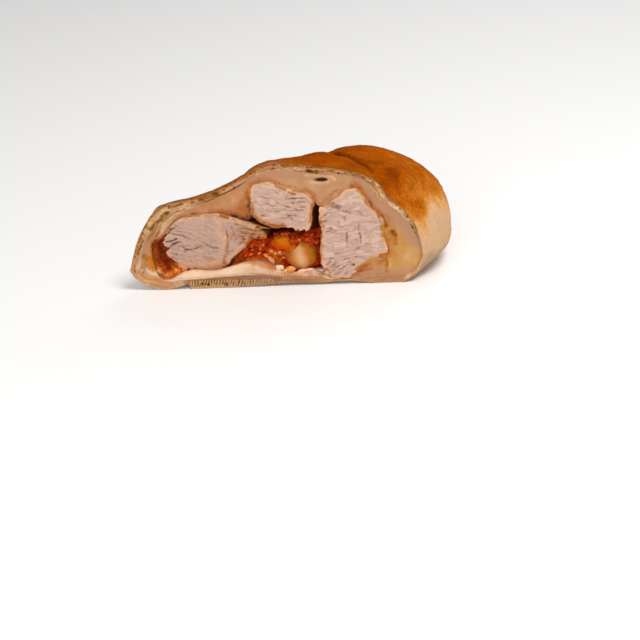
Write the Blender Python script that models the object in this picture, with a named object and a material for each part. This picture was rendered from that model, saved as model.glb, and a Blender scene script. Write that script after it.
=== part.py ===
"""Half of a baked chicken roll, cut across on a slant, standing on its flat underside.

The cut face looks along -Y. The roll runs back and to the right from it and ends in a
blunt, rounded tail. Dough wraps pieces of chicken, melted cheese and tomato sauce, and a
flap of the same dough is folded over the back half and ends in a raised edge.

Sections are written in millimetres as (across the cut, height, depth behind the cut).
"""

import bmesh
import bpy
import numpy as np

# ---------------------------------------------------------------------------
# Driving dimensions, millimetres
# ---------------------------------------------------------------------------
MM = 0.001
CUT_WIDTH = 130.8  # the cut face, tip to tip
CUT_HEIGHT = 59.9  # the cut face, underside to crown
CUT_MIDDLE = -0.5  # across, halfway between the tips
BODY_DEPTH = 98.0  # cut face to the end of the tail
CAVITY_DEPTH = 68.0  # how far the filling reaches
FLAP_STEP = 2.6  # how far the flap stands above the dough beside its edge
TAIL_RISE = 5.0  # how far the underside lifts at the tail
RING_TOP = 44  # points over the crown of a body section
RING_BASE = 28  # points along its underside

# How the body changes with depth: left side, right side, height, and where its crown is.
LEFT_SIDE = [
    (0, -65.9),
    (10, -58),
    (20, -48),
    (40, -25.5),
    (60, -5),
    (80, 9),
    (90, 18),
    (95, 24.5),
    (98, 33),
]
RIGHT_SIDE = [
    (0, 64.9),
    (10, 73),
    (20, 78.5),
    (30, 80.5),
    (40, 80),
    (50, 77.5),
    (60, 74),
    (70, 69.5),
    (80, 63.5),
    (90, 55),
    (95, 49),
    (98, 41),
]
HEIGHT = [
    (0, 59.9),
    (10, 57),
    (20, 52.8),
    (30, 49.4),
    (40, 47.5),
    (50, 44.8),
    (60, 41),
    (70, 36.5),
    (80, 31.5),
    (90, 25),
    (95, 20),
    (98, 14),
]
CROWN = [
    (0, 1),
    (10, 9),
    (18, 17),
    (30, 30),
    (40, 38),
    (50, 41),
    (60, 41),
    (80, 39),
    (98, 37),
]

# Crown and underside of the cut face, from the left tip over to the right tip and back.
CUT_CROWN = [
    (-65.9, 9.8),
    (-61.6, 24.5),
    (-53.4, 38.2),
    (-47.1, 41.7),
    (-36.5, 44.0),
    (-24.2, 48.4),
    (-15.3, 52.9),
    (-8.7, 57.5),
    (-1.3, 59.9),
    (6.5, 58.6),
    (19.3, 56.2),
    (32.3, 54.0),
    (41.0, 50.9),
    (46.6, 46.0),
    (49.2, 41.6),
    (55.8, 34.8),
    (61.2, 27.0),
    (64.0, 16.9),
    (64.9, 13.0),
]
CUT_BASE = [
    (64.9, 13.0),
    (62.8, 5.8),
    (57.0, 0.6),
    (46.0, 0.0),
    (33.2, 1.5),
    (18.0, 1.2),
    (3.0, 1.4),
    (-13.0, 0.5),
    (-30.0, 0.0),
    (-38.6, 0.2),
    (-40.2, 2.4),
    (-43.5, 1.4),
    (-51.0, 0.0),
    (-57.0, 1.7),
    (-63.2, 5.2),
    (-65.9, 9.8),
]

# The edge of the folded flap, seen from above, as (across, depth).
FLAP_EDGE = [
    (56, -14),
    (46, 0),
    (42, 9),
    (38.3, 19),
    (34, 32),
    (26, 46),
    (10, 61),
    (-16, 78),
]

# Outlines at the cut face, as (across, height).
CAVITY = [
    (-55.2, 13.5),
    (-55.2, 21.5),
    (-49.2, 29.0),
    (-46.0, 33.2),
    (-40.3, 36.8),
    (-26.9, 42.2),
    (-15.8, 48.0),
    (-7.0, 53.3),
    (2.0, 54.8),
    (10.6, 53.2),
    (19.3, 51.5),
    (27.9, 51.3),
    (35.0, 50.0),
    (39.6, 46.6),
    (42.6, 41.4),
    (50.4, 35.0),
    (56.5, 28.9),
    (60.4, 22.4),
    (62.9, 16.0),
    (62.9, 10.5),
    (59.6, 4.9),
    (55.0, 4.1),
    (40.0, 4.1),
    (20.0, 4.1),
    (-10.0, 4.1),
    (-40.0, 4.1),
    (-50.0, 4.1),
    (-53.9, 7.0),
]
CHICKEN_LEFT = [
    (-51.2, 23.0),
    (-48.0, 26.2),
    (-45.4, 30.0),
    (-41.0, 33.8),
    (-33.5, 35.6),
    (-26.0, 35.3),
    (-19.6, 33.1),
    (-11.8, 30.5),
    (-5.4, 27.2),
    (-7.0, 24.2),
    (-12.2, 22.3),
    (-16.7, 18.4),
    (-20.9, 13.4),
    (-25.1, 8.2),
    (-28.2, 6.4),
    (-36.7, 6.3),
    (-42.2, 6.3),
    (-43.6, 11.6),
    (-49.4, 14.6),
    (-49.8, 17.2),
    (-46.6, 19.4),
    (-49.8, 21.4),
]
CHICKEN_MIDDLE = [
    (-10.8, 46.6),
    (-6.2, 49.2),
    (-0.4, 47.6),
    (6.0, 44.8),
    (11.7, 43.8),
    (15.8, 40.0),
    (15.6, 34.3),
    (14.6, 29.5),
    (12.0, 25.4),
    (8.7, 27.0),
    (5.7, 28.9),
    (-0.9, 28.8),
    (-7.4, 31.8),
    (-10.6, 36.5),
    (-11.4, 42.0),
]
CHICKEN_RIGHT = [
    (27.8, 40.4),
    (31.3, 45.2),
    (34.0, 45.7),
    (36.6, 44.3),
    (38.9, 40.6),
    (41.6, 35.0),
    (45.0, 32.2),
    (46.9, 25.5),
    (47.7, 17.5),
    (46.4, 13.4),
    (43.3, 11.6),
    (39.0, 7.0),
    (33.0, 4.9),
    (27.3, 4.8),
    (23.0, 5.6),
    (19.4, 8.9),
    (18.2, 16.0),
    (18.6, 26.0),
    (18.3, 35.6),
    (22.0, 37.2),
]
MELTED_CHEESE_TOP = [
    (-37.8, 36.8),
    (-33.3, 38.3),
    (-26.7, 41.0),
    (-20.0, 44.1),
    (-15.3, 46.8),
    (-10.9, 50.1),
    (-5.8, 52.6),
    (2.0, 53.8),
    (10.6, 52.2),
    (19.3, 50.5),
    (27.9, 50.3),
    (34.6, 49.0),
    (37.5, 47.2),
    (35.0, 46.5),
    (31.0, 46.2),
    (28.3, 43.9),
    (26.6, 41.0),
    (22.0, 38.2),
    (18.4, 38.4),
    (16.3, 41.2),
    (12.4, 44.8),
    (6.6, 45.8),
    (-0.1, 48.6),
    (-6.2, 50.2),
    (-11.3, 48.3),
    (-12.4, 44.6),
    (-12.1, 39.0),
    (-12.6, 35.6),
    (-15.0, 34.4),
    (-20.4, 35.8),
    (-27.0, 37.2),
    (-33.0, 37.3),
]
MELTED_CHEESE_RIGHT = [
    (43.0, 40.0),
    (49.8, 34.6),
    (55.5, 28.9),
    (59.3, 22.5),
    (62.2, 15.8),
    (62.2, 11.0),
    (58.8, 5.5),
    (54.0, 4.7),
    (46.0, 4.6),
    (37.6, 4.8),
    (41.2, 7.6),
    (45.0, 11.4),
    (48.0, 13.2),
    (49.0, 17.5),
    (48.2, 25.5),
    (46.2, 33.0),
    (42.6, 36.4),
    (41.4, 38.8),
]
TOMATO_SAUCE = [
    (-24.0, 6.4),
    (-19.4, 11.4),
    (-15.6, 16.4),
    (-11.0, 19.4),
    (-4.6, 21.4),
    (2.0, 23.2),
    (9.0, 22.6),
    (13.5, 23.0),
    (17.2, 21.6),
    (17.4, 14.0),
    (18.4, 8.2),
    (20.2, 5.8),
    (15.0, 4.8),
    (0.0, 4.7),
    (-14.0, 4.7),
    (-22.0, 4.8),
]
SAUCE_LEFT = [
    (-54.5, 20.6),
    (-52.6, 21.6),
    (-50.9, 20.4),
    (-50.3, 19.0),
    (-51.2, 17.2),
    (-50.9, 14.4),
    (-48.0, 12.8),
    (-45.2, 11.4),
    (-43.6, 8.6),
    (-43.4, 5.4),
    (-47.0, 4.7),
    (-50.4, 5.0),
    (-53.2, 8.0),
    (-54.4, 14.0),
]

# Two lumps of half melted cheese in the sauce: middle (across, height, depth), half sizes, turn.
LUMP_ORANGE = ((2.2, 18.9, 7.2), (4.6, 3.9, 5.0), 0.3)
LUMP_CREAM = ((11.4, 12.3, 7.0), (5.5, 6.4, 5.2), -0.2)
SOCKET_GAP = 0.35  # free space between a lump and the sauce round it

# How far each filling's face lies behind the cut (at its top, at its bottom), and where it ends.
FACE = {
    "chicken_left": (0.6, 6.0, 52.0),
    "chicken_middle": (0.5, 1.2, 46.0),
    "chicken_right": (0.4, 1.4, 62.0),
    "melted_cheese_top": (1.4, 2.6, 50.0),
    "melted_cheese_right": (1.4, 1.6, 44.0),
    "tomato_sauce": (6.4, 8.4, 56.0),
    "sauce_left": (3.0, 3.4, 26.0),
}


# ---------------------------------------------------------------------------
# Curves
# ---------------------------------------------------------------------------
def rounded(points, count, closed=True):
    """`count` points spaced evenly along a smooth curve through the given ones."""
    p = np.array(points, float)
    if closed:
        p = np.vstack([p[-1], p, p[0], p[1]])
    else:
        p = np.vstack([2 * p[0] - p[1], p, 2 * p[-1] - p[-2]])
    t = np.linspace(0, 1, 12, endpoint=False)[:, None]
    spans = []
    for a, b, c, d in zip(p, p[1:], p[2:], p[3:]):
        bend = (c - a) * t + (2 * a - 5 * b + 4 * c - d) * t**2 + (3 * b - a - 3 * c + d) * t**3
        spans.append(b + 0.5 * bend)
    line = np.vstack(spans + [p[-2:-1]])
    run = np.r_[0, np.cumsum(np.hypot(*np.diff(line, axis=0).T))]
    at = np.linspace(0, run[-1], count + 1)[:-1] if closed else np.linspace(0, run[-1], count)
    return np.stack([np.interp(at, run, line[:, k]) for k in (0, 1)], 1)


def law(table, d):
    """The value at depth d, on a smooth curve through the table."""
    x, y = np.array(table, float).T
    slope = np.gradient(y, x)
    d = np.clip(d, x[0], x[-1])
    i = np.clip(np.searchsorted(x, d) - 1, 0, len(x) - 2)
    h = x[i + 1] - x[i]
    t = (d - x[i]) / h
    rise = (3 * t**2 - 2 * t**3) * (y[i + 1] - y[i])
    return y[i] + rise + h * ((t**3 - 2 * t**2 + t) * slope[i] + (t**3 - t**2) * slope[i + 1])


def ease(a, b, x):
    t = np.clip((x - a) / (b - a), 0, 1)
    return t * t * (3 - 2 * t)


# ---------------------------------------------------------------------------
# The body: every section is one warp of the cut face
# ---------------------------------------------------------------------------
def warp(u, z, d, shrink=0.0):
    """Where a point (across, height) of the cut face goes at depth d, in millimetres."""
    left, right, high = law(LEFT_SIDE, d), law(RIGHT_SIDE, d), law(HEIGHT, d)
    half = (right - left) / 2
    middle = (right + left) / 2
    inner = 1 - shrink * ease(0, 34, d)
    a = (u - CUT_MIDDLE) / (CUT_WIDTH / 2) * inner
    b = (4 + (z - 4) * inner) / CUT_HEIGHT
    lean = law(CROWN, d) - law(CROWN, 0) - middle + CUT_MIDDLE
    x = middle + half * a + lean * np.clip((b - 0.25) / 0.75, 0, 1) ** 1.2
    return np.stack([x, np.broadcast_to(d, np.shape(x)), high * b], -1)


def loaf_ring():
    """A plain loaf section in cut face coordinates: domed, with a flat underside."""
    tip = 0.26
    a = np.linspace(np.pi, 0, RING_TOP + 1)[:-1]
    slope = 0.97 + 0.2 * ease(0, -0.5, np.cos(a))
    top_u = np.sign(np.cos(a)) * np.abs(np.cos(a)) ** slope
    top_z = tip + (1 - tip) * np.abs(np.sin(a)) ** slope
    a = np.linspace(0, -np.pi, RING_BASE + 1)[:-1]
    base_u = np.sign(np.cos(a)) * np.abs(np.cos(a)) ** 0.42
    base_z = tip * np.clip(1 - np.abs(np.sin(a)) ** 0.55 / 0.9, 0, 1)
    u = CUT_MIDDLE + np.r_[top_u, base_u] * CUT_WIDTH / 2
    return u, np.r_[top_z, base_z] * CUT_HEIGHT


def cut_ring():
    top = rounded(CUT_CROWN, RING_TOP + 1, closed=False)[:-1]
    base = rounded(CUT_BASE, RING_BASE + 1, closed=False)[:-1]
    return np.vstack([top, base]).T


def behind_flap_edge(x, y):
    """Distance behind the edge of the flap in plan; negative in front of it."""
    line = rounded(FLAP_EDGE, 60, closed=False)
    along = np.gradient(line, axis=0)
    gap = np.stack([x, y], -1)[..., None, :] - line
    near = np.argmin((gap**2).sum(-1), -1)
    cross = along[:, 0] * gap[..., 1] - along[:, 1] * gap[..., 0]
    side = np.take_along_axis(cross, near[..., None], -1)[..., 0]
    return -np.sign(side) * np.sqrt((gap**2).sum(-1).min(-1))


def body_section(d, raised):
    cut_u, cut_z = cut_ring()
    loaf_u, loaf_z = loaf_ring()
    w = ease(3, 50, d)
    # the underside is flat from a little way behind the cut
    base = np.arange(len(cut_u)) > RING_TOP
    wz = np.where(base, ease(0, 16, d), w)
    x, y, z = warp(cut_u * (1 - w) + loaf_u * w, cut_z * (1 - wz) + loaf_z * wz, d).T
    z = np.maximum(z, 0)
    # a swelling of the top crust just behind the cut
    z = z + 3.8 * np.exp(-(((x - 22) / 10) ** 2) - ((y - 18) / 10) ** 2) * ease(20, 45, z)
    # the underside lifts at the tail
    lift = TAIL_RISE * ease(74, BODY_DEPTH, d)
    z = z + lift * (1 - z / (z.max() + 1e-6))
    if raised:
        back = behind_flap_edge(x, y)
        out = np.stack([x - x.mean(), z - 14], 1)
        out /= np.linalg.norm(out, axis=1)[:, None]
        swell = 0.85 + 0.65 * np.exp(-(((back - 13) / 9) ** 2)) - 0.5 * ease(18, 44, back)
        step = FLAP_STEP * swell * ease(2, 12, z) * ease(-3, 12, d) - 0.35
        x, z = x + out[:, 0] * step, z + out[:, 1] * step
        y = y + 0.4 * (1 - ease(0, 3, d))
    return np.stack([x, y, z], 1)


# ---------------------------------------------------------------------------
# Meshes
# ---------------------------------------------------------------------------
def material(name, colour, rough):
    m = bpy.data.materials.new(name)
    m.use_nodes = True
    shader = m.node_tree.nodes["Principled BSDF"]
    shader.inputs["Base Color"].default_value = (*colour, 1)
    shader.inputs["Roughness"].default_value = rough
    m.diffuse_color = (*colour, 1)
    return m


def collection(name, helper=False):
    c = bpy.data.collections.new(name)
    bpy.context.scene.collection.children.link(c)
    c.hide_render = helper
    return c


def add(name, mesh, home, paint=None):
    obj = bpy.data.objects.new(name, mesh)
    home.objects.link(obj)
    if paint:
        mesh.materials.append(paint)
    else:
        obj.hide_render = True
        obj.display_type = "WIRE"
    return obj


def skin(name, rings):
    """A closed body through rings of equal length. A ring of one point closes an end as a fan."""
    bm = bmesh.new()
    rows = [[bm.verts.new(p * MM) for p in ring] for ring in rings]
    for a, b in zip(rows, rows[1:]):
        n = max(len(a), len(b))
        for i in range(n):
            j = (i + 1) % n
            corners = [a[i % len(a)], a[j % len(a)], b[j % len(b)], b[i % len(b)]]
            bm.faces.new(list(dict.fromkeys(corners)))
    for end in (rows[0], rows[-1]):
        if len(end) > 1:
            bm.faces.new(end)
    bmesh.ops.recalc_face_normals(bm, faces=bm.faces)
    mesh = bpy.data.meshes.new(name)
    bm.to_mesh(mesh)
    bm.free()
    return mesh


def filling(outline, key, count, lumpy=0.0, blunt=True):
    """Rings of a filling that runs back from its face. A lumpy face is built up in three rings."""
    top, bottom, end = FACE[key]
    ring = rounded(outline, count)
    heart = ring.mean(0)
    low, high = ring[:, 1].min(), ring[:, 1].max()

    def face_depth(p):
        return top + (bottom - top) * np.clip((high - p[:, 1]) / (high - low), 0, 1) ** 1.5

    rings = []
    if lumpy:
        for size, rise in ((0.0, 0.9), (0.36, 0.8), (0.7, 0.55)):
            p = heart + (ring - heart) * size
            if size == 0:
                p = p[:1]
            wave = np.sin(0.55 * p[:, 0] + 0.3) * np.cos(0.47 * p[:, 1] - 0.9)
            d = np.maximum(face_depth(p) - lumpy * (rise + 0.5 * wave) + 0.4 * lumpy, 0.15)
            rings.append(warp(p[:, 0], p[:, 1], d, 0.12))
    start = face_depth(ring)
    for t in (0, 0.03, 0.12, 0.24, 0.36, 0.5, 0.7, 0.86, 1.0):
        close = 1 - 0.5 * ease(0.62, 1.0, t) if blunt else 1.0
        edge = 1 - 0.035 * (1 - ease(0, 0.03, t)) if blunt else 1.0
        p = heart + (ring - heart) * close * edge
        rings.append(warp(p[:, 0], p[:, 1], start + (end - start) * t, 0.12))
    return rings


def lump(name, spec, grow=0.0):
    (u, z, d), (a, b, c), turn = spec
    bm = bmesh.new()
    bmesh.ops.create_icosphere(bm, subdivisions=3, radius=1)
    for v in bm.verts:
        x, y, h = v.co
        wide = 1 + 0.07 * np.sin(2.3 * x + 3.1 * h + turn * 9) + 0.05 * np.cos(4.1 * h - 2.0 * y)
        x, h = x * np.cos(turn) - h * np.sin(turn), x * np.sin(turn) + h * np.cos(turn)
        v.co = (
            (u + x * (a * wide + grow)) * MM,
            (d + y * (c * wide + grow)) * MM,
            (z + h * (b * wide + grow)) * MM,
        )
    mesh = bpy.data.meshes.new(name)
    bm.to_mesh(mesh)
    bm.free()
    return mesh


def boolean(obj, other, operation):
    m = obj.modifiers.new(operation.title(), "BOOLEAN")
    m.operation = operation
    m.solver = "EXACT"
    m.object = other


# ---------------------------------------------------------------------------
# Build
# ---------------------------------------------------------------------------
for old in list(bpy.data.objects):
    bpy.data.objects.remove(old, do_unlink=True)

food = collection("chicken_roll")
helpers = collection("helpers", helper=True)

DEPTHS = [0, 3, 7, 12, 18, 24, 31, 38, 46, 54, 62, 70, 77, 83, 88, 92, 95, 97, 98]


def body(name, raised, home, paint=None):
    rings = [body_section(d, raised) for d in DEPTHS]
    return add(name, skin(name, rings), home, paint)


# Dough: the body, with the folded flap standing above it behind the flap's edge
crust = material("baked_dough", (0.55, 0.27, 0.09), 0.6)
dough = body("dough", False, food, crust)
flap = body("flap_body", True, helpers)

edge = rounded(FLAP_EDGE, 26, closed=False)
plan = [*edge, (-30, 130), (130, 130), (130, -14)]
prism = skin("flap_reach", [[np.array([x, y, z]) for x, y in plan] for z in (-20, 90)])
reach = add("flap_reach", prism, helpers)
boolean(flap, reach, "INTERSECT")
boolean(dough, flap, "UNION")

# The hollow that holds the filling, open at the cut face
hollow_ring = rounded(CAVITY, 56)
hollow_heart = np.array([4.0, 24.0])
hollow_rings = []
for d in (-6, 0, 5, 10, 16, 22, 29, 38, 48, 58, 64, CAVITY_DEPTH):
    size = np.sqrt(max(1 - (max(d - 50, 0) / (CAVITY_DEPTH - 49)) ** 2, 0.05))
    p = hollow_heart + (hollow_ring - hollow_heart) * size
    ring = warp(p[:, 0], p[:, 1], max(d, 0), 0.12)
    ring[:, 1] = d
    hollow_rings.append(ring)
hollow = add("hollow", skin("hollow", hollow_rings), helpers)
boolean(dough, hollow, "DIFFERENCE")

# Chicken
meat = material("chicken", (0.66, 0.5, 0.42), 0.55)
for key, outline, count in (
    ("chicken_left", CHICKEN_LEFT, 40),
    ("chicken_middle", CHICKEN_MIDDLE, 32),
    ("chicken_right", CHICKEN_RIGHT, 40),
):
    paint = meat.copy()
    paint.name = key
    add(key, skin(key, filling(outline, key, count, lumpy=0.6)), food, paint)

# Melted cheese
cheese = material("melted_cheese_top", (0.62, 0.42, 0.22), 0.4)
mesh = skin("melted_cheese_top", filling(MELTED_CHEESE_TOP, "melted_cheese_top", 56, blunt=False))
add("melted_cheese_top", mesh, food, cheese)
cheese = material("melted_cheese_right", (0.6, 0.4, 0.14), 0.4)
mesh = skin("melted_cheese_right", filling(MELTED_CHEESE_RIGHT, "melted_cheese_right", 40, blunt=False))
add("melted_cheese_right", mesh, food, cheese)

# Sauce, with the two lumps of cheese set in it
red = material("tomato_sauce", (0.42, 0.06, 0.01), 0.3)
mesh = skin("tomato_sauce", filling(TOMATO_SAUCE, "tomato_sauce", 36, lumpy=1.2))
sauce = add("tomato_sauce", mesh, food, red)
brown = material("sauce_left", (0.3, 0.07, 0.01), 0.35)
add("sauce_left", skin("sauce_left", filling(SAUCE_LEFT, "sauce_left", 28, lumpy=0.8)), food, brown)
for key, spec, colour in (
    ("cheese_lump_orange", LUMP_ORANGE, (0.62, 0.26, 0.05)),
    ("cheese_lump_cream", LUMP_CREAM, (0.68, 0.46, 0.22)),
):
    add(key, lump(key, spec), food, material(key, colour, 0.35))
    socket = add(key + "_socket", lump(key + "_socket", spec, SOCKET_GAP), helpers)
    boolean(sauce, socket, "DIFFERENCE")

# The origin goes to the middle of the bounding box, at its bottom
bpy.context.view_layer.update()
solid = dough.evaluated_get(bpy.context.evaluated_depsgraph_get()).to_mesh()
extent = np.array([v.co for v in solid.vertices])
low, high = extent.min(0), extent.max(0)
for obj in bpy.data.objects:
    obj.location = (-(low[0] + high[0]) / 2, -(low[1] + high[1]) / 2, -low[2])
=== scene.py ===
# %% [markdown]
# # Half of a baked chicken roll
# This lesson dresses a plain solid model of a cut roll: dough folded round chicken, melted
# cheese and tomato sauce. The solids give the size and the main shapes and stay fixed. Every
# visible part is then rebuilt here as a finer mesh from the same numbers, so that it can carry
# bubbles, fibres and wrinkles that would be far too small for the solid model.

# %% Load the fixed frame
import math

import bmesh
import bpy
import numpy as np
from mathutils import Matrix, Vector
from mathutils.geometry import delaunay_2d_cdt
from mathutils.kdtree import KDTree


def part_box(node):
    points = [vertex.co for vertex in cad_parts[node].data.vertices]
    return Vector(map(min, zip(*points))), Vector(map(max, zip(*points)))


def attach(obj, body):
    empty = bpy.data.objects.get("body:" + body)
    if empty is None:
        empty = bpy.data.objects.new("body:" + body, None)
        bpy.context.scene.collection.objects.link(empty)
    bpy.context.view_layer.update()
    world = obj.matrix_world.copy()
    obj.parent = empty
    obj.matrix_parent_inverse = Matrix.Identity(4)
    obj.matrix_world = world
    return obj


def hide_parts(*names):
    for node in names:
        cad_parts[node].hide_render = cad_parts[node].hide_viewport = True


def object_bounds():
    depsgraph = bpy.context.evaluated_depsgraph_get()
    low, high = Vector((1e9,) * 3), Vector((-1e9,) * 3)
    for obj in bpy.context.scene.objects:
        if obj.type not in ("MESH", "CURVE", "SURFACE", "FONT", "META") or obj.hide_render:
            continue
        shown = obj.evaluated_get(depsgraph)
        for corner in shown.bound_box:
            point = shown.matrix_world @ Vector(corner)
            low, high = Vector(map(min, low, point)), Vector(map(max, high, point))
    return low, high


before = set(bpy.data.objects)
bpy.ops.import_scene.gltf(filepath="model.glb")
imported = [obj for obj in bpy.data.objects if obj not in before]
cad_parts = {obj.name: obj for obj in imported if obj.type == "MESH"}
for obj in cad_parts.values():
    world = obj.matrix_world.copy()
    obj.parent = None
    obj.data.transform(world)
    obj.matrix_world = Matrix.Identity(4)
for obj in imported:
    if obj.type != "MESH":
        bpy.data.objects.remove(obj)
CAD_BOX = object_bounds()
MM = 0.001
LEFT_REACH = 65.9
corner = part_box("dough")[0]
# All shapes below are in millimetres from the middle of the cut: across, depth, height.
ORIGIN = np.array([corner.x / MM + LEFT_REACH, corner.y / MM, corner.z / MM])
print("nodes", sorted(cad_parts), "origin", ORIGIN.round(2))

# %% [markdown]
# ## Smooth curves and laws of change
# The roll has no straight line in it. Outlines are drawn as a few points with a smooth curve
# through them, and sizes that change with depth are short tables read through a smooth curve.
# This keeps every shape down to numbers that a person can read and adjust.


# %% Curves
def rounded(points, count, closed=True):
    """Points spaced evenly along a smooth curve through the given ones."""
    p = np.array(points, float)
    if closed:
        p = np.vstack([p[-1], p, p[0], p[1]])
    else:
        p = np.vstack([2 * p[0] - p[1], p, 2 * p[-1] - p[-2]])
    t = np.linspace(0, 1, 12, endpoint=False)[:, None]
    spans = []
    for a, b, c, d in zip(p, p[1:], p[2:], p[3:]):
        bend = (c - a) * t + (2 * a - 5 * b + 4 * c - d) * t**2 + (3 * b - a - 3 * c + d) * t**3
        spans.append(b + 0.5 * bend)
    line = np.vstack(spans + [p[-2:-1]])
    run = np.r_[0, np.cumsum(np.hypot(*np.diff(line, axis=0).T))]
    at = np.linspace(0, run[-1], count + 1)[:-1] if closed else np.linspace(0, run[-1], count)
    return np.stack([np.interp(at, run, line[:, k]) for k in (0, 1)], 1)


def law(table, d):
    """The value at depth d, on a smooth curve through a table of (depth, value)."""
    x, y = np.array(table, float).T
    slope = np.gradient(y, x)
    d = np.clip(d, x[0], x[-1])
    i = np.clip(np.searchsorted(x, d) - 1, 0, len(x) - 2)
    h = x[i + 1] - x[i]
    t = (d - x[i]) / h
    rise = (3 * t**2 - 2 * t**3) * (y[i + 1] - y[i])
    return y[i] + rise + h * ((t**3 - 2 * t**2 + t) * slope[i] + (t**3 - t**2) * slope[i + 1])


def ease(a, b, x):
    """0 before a, 1 after b, with a soft start and end between them."""
    t = np.clip((x - a) / (b - a), 0, 1)
    return t * t * (3 - 2 * t)


print("half way of a soft step:", ease(0, 10, 5))

# %% [markdown]
# ## Tables as text
# The outlines and the drawn marks are plain numbers, so they are kept as short texts that
# are easy to read and to change. Two small functions turn them into lists.


# %% Tables
def listed(text):
    """Rows of numbers: spaces between the numbers of a row, and commas between the rows."""
    return [tuple(map(float, row.split())) for row in text.split(",")]


def strokes(text):
    """Marks: mask, strength and width, and after a colon the strokes, with semicolons between them."""
    made = []
    for line in text.strip().splitlines():
        head, lines = line.split(":")
        mask, strength, width = head.split()
        made += [(mask, float(strength), float(width), listed(places)) for places in lines.split(";")]
    return made


print("a mark:", strokes("pit 1.1 2.4: -32.9 42.6, -30.7 43.4")[0])

# %% [markdown]
# ## The roll's main dimensions
# The cut face is 131 mm wide and 60 mm high, and the roll runs 98 mm back from it to a blunt
# tail. The side lines, the height and the place of the crown change with depth. They are the
# same values that the solid model has, so the fine meshes lie exactly where the solids are.

# %% Dimensions
CUT_WIDTH, CUT_HEIGHT, CUT_MIDDLE = 130.8, 59.9, -0.5
BODY_DEPTH, CAVITY_DEPTH, FLAP_STEP, TAIL_RISE = 98.0, 68.0, 2.6, 5.0
CUT_HEART, CAVITY_HEART = np.array([0, 24.0]), np.array([4.0, 24.0])
NARROWING = 0.12  # how much narrower than the crust the hollow gets with depth
LEFT_SIDE = listed("0 -65.9, 10 -58, 20 -48, 40 -25.5, 60 -5, 80 9, 90 18, 95 24.5, 98 33")
RIGHT_SIDE = listed("""
0 64.9, 10 73, 20 78.5, 30 80.5, 40 80, 50 77.5, 60 74, 70 69.5, 80 63.5, 90 55, 95 49, 98 41""")
HEIGHT = listed("""
0 59.9, 10 57, 20 52.8, 30 49.4, 40 47.5, 50 44.8, 60 41, 70 36.5, 80 31.5, 90 25, 95 20, 98 14""")
CROWN = listed("0 1, 10 9, 18 17, 30 30, 40 38, 50 41, 60 41, 80 39, 98 37")
FLAP_EDGE = listed("56 -14, 46 0, 42 9, 38.3 19, 34 32, 26 46, 10 61, -16 78")
print("cut", CUT_WIDTH, "x", CUT_HEIGHT, "mm, depth", BODY_DEPTH, "mm")

# %% Outlines at the cut face, as (across, height)
CUT_CROWN = listed("""
-65.9 9.8, -61.6 24.5, -53.4 38.2, -47.1 41.7, -36.5 44, -24.2 48.4, -15.3 52.9, -8.7 57.5, -1.3 59.9,
6.5 58.6, 19.3 56.2, 32.3 54, 41 50.9, 46.6 46, 49.2 41.6, 55.8 34.8, 61.2 27, 64 16.9, 64.9 13""")
CUT_BASE = listed("""
64.9 13, 62.8 5.8, 57 0.6, 46 0, 33.2 1.5, 18 1.2, 3 1.4, -13 0.5, -30 0, -38.6 0.2, -40.2 2.4, -43.5 1.4,
-51 0, -57 1.7, -63.2 5.2, -65.9 9.8""")
CAVITY = listed("""
-55.2 13.5, -55.2 21.5, -49 28.3, -45.7 32.2, -40.4 36.2, -26.9 42.2, -15.8 48, -7 53.3, 2 54.8,
10.6 53.2, 19.3 51.5, 27.9 51.3, 35 50, 39.6 46.6, 42.6 41.4, 50.4 35, 56.5 28.9, 60.4 22.4, 62.9 16,
62.9 10.5""")
FLOOR_LINE = listed("""
-50 4.4, -44.3 4.9, -35.4 5.4, -28.7 5.9, -22 6.2, -17.5 6.5, -10.8 6.3, -3 5.2, 3 4.4, 12 4, 19 3.3,
22 2.3, 26.5 2, 31.5 2.3, 36 3.2, 40 4.1, 55 4.1""")
CAVITY += [(59.6, 4.9)] + FLOOR_LINE[::-1] + [(-53.9, 7.0)]
FLOOR_CREST = listed("""
-50 4.8, -44.3 7.1, -41.1 7.5, -36.7 6.8, -33.1 6.9, -27.7 7.7, -21.7 9.8, -17 10.7, -12.8 9.7, -9.7 8.3,
-5 6.4, 0 5.4, 3 4.6, 6 5, 11 5.6, 14.1 5.8, 16 5.2, 19 4.2, 30 2.5, 40 4.4, 55 4.6""")
print("cavity outline of", len(CAVITY), "points")

# %% [markdown]
# ## Warping the cut face back through the roll
# Every section behind the cut is the cut face squeezed, shifted and leant. One function does
# that for any point, so the crust, the hollow and the fillings all follow each other.


# %% Warp
def warp(u, z, d, shrink=0.0):
    """Where a point (across, height) of the cut face goes at depth d, drawn in by a share."""
    left, right, high = law(LEFT_SIDE, d), law(RIGHT_SIDE, d), law(HEIGHT, d)
    half, middle = (right - left) / 2, (right + left) / 2
    inner = 1 - shrink * ease(0, 34, d)
    a = (u - CUT_MIDDLE) / (CUT_WIDTH / 2) * inner
    b = (4 + (z - 4) * inner) / CUT_HEIGHT
    lean = law(CROWN, d) - law(CROWN, 0) - middle + CUT_MIDDLE
    x = middle + half * a + lean * np.clip((b - 0.25) / 0.75, 0, 1) ** 1.2
    return np.stack([x, np.broadcast_to(d, np.shape(x)), high * b], -1)


print("crown 30 mm behind the cut:", warp(1.0, 59.9, 30.0).round(1))

# %% [markdown]
# ## Uneven surfaces
# Baked dough, meat and sauce are uneven at several scales at once. Smooth value noise gives a
# number from -1 to 1 that changes gently over a chosen distance, and it can be stretched
# along an axis for fibres. It is worked out from the position alone, so each run is the same.


# %% Noise
PRIMES, MIXER = (73856093, 19349663, 83492791), 1274126177


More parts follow.
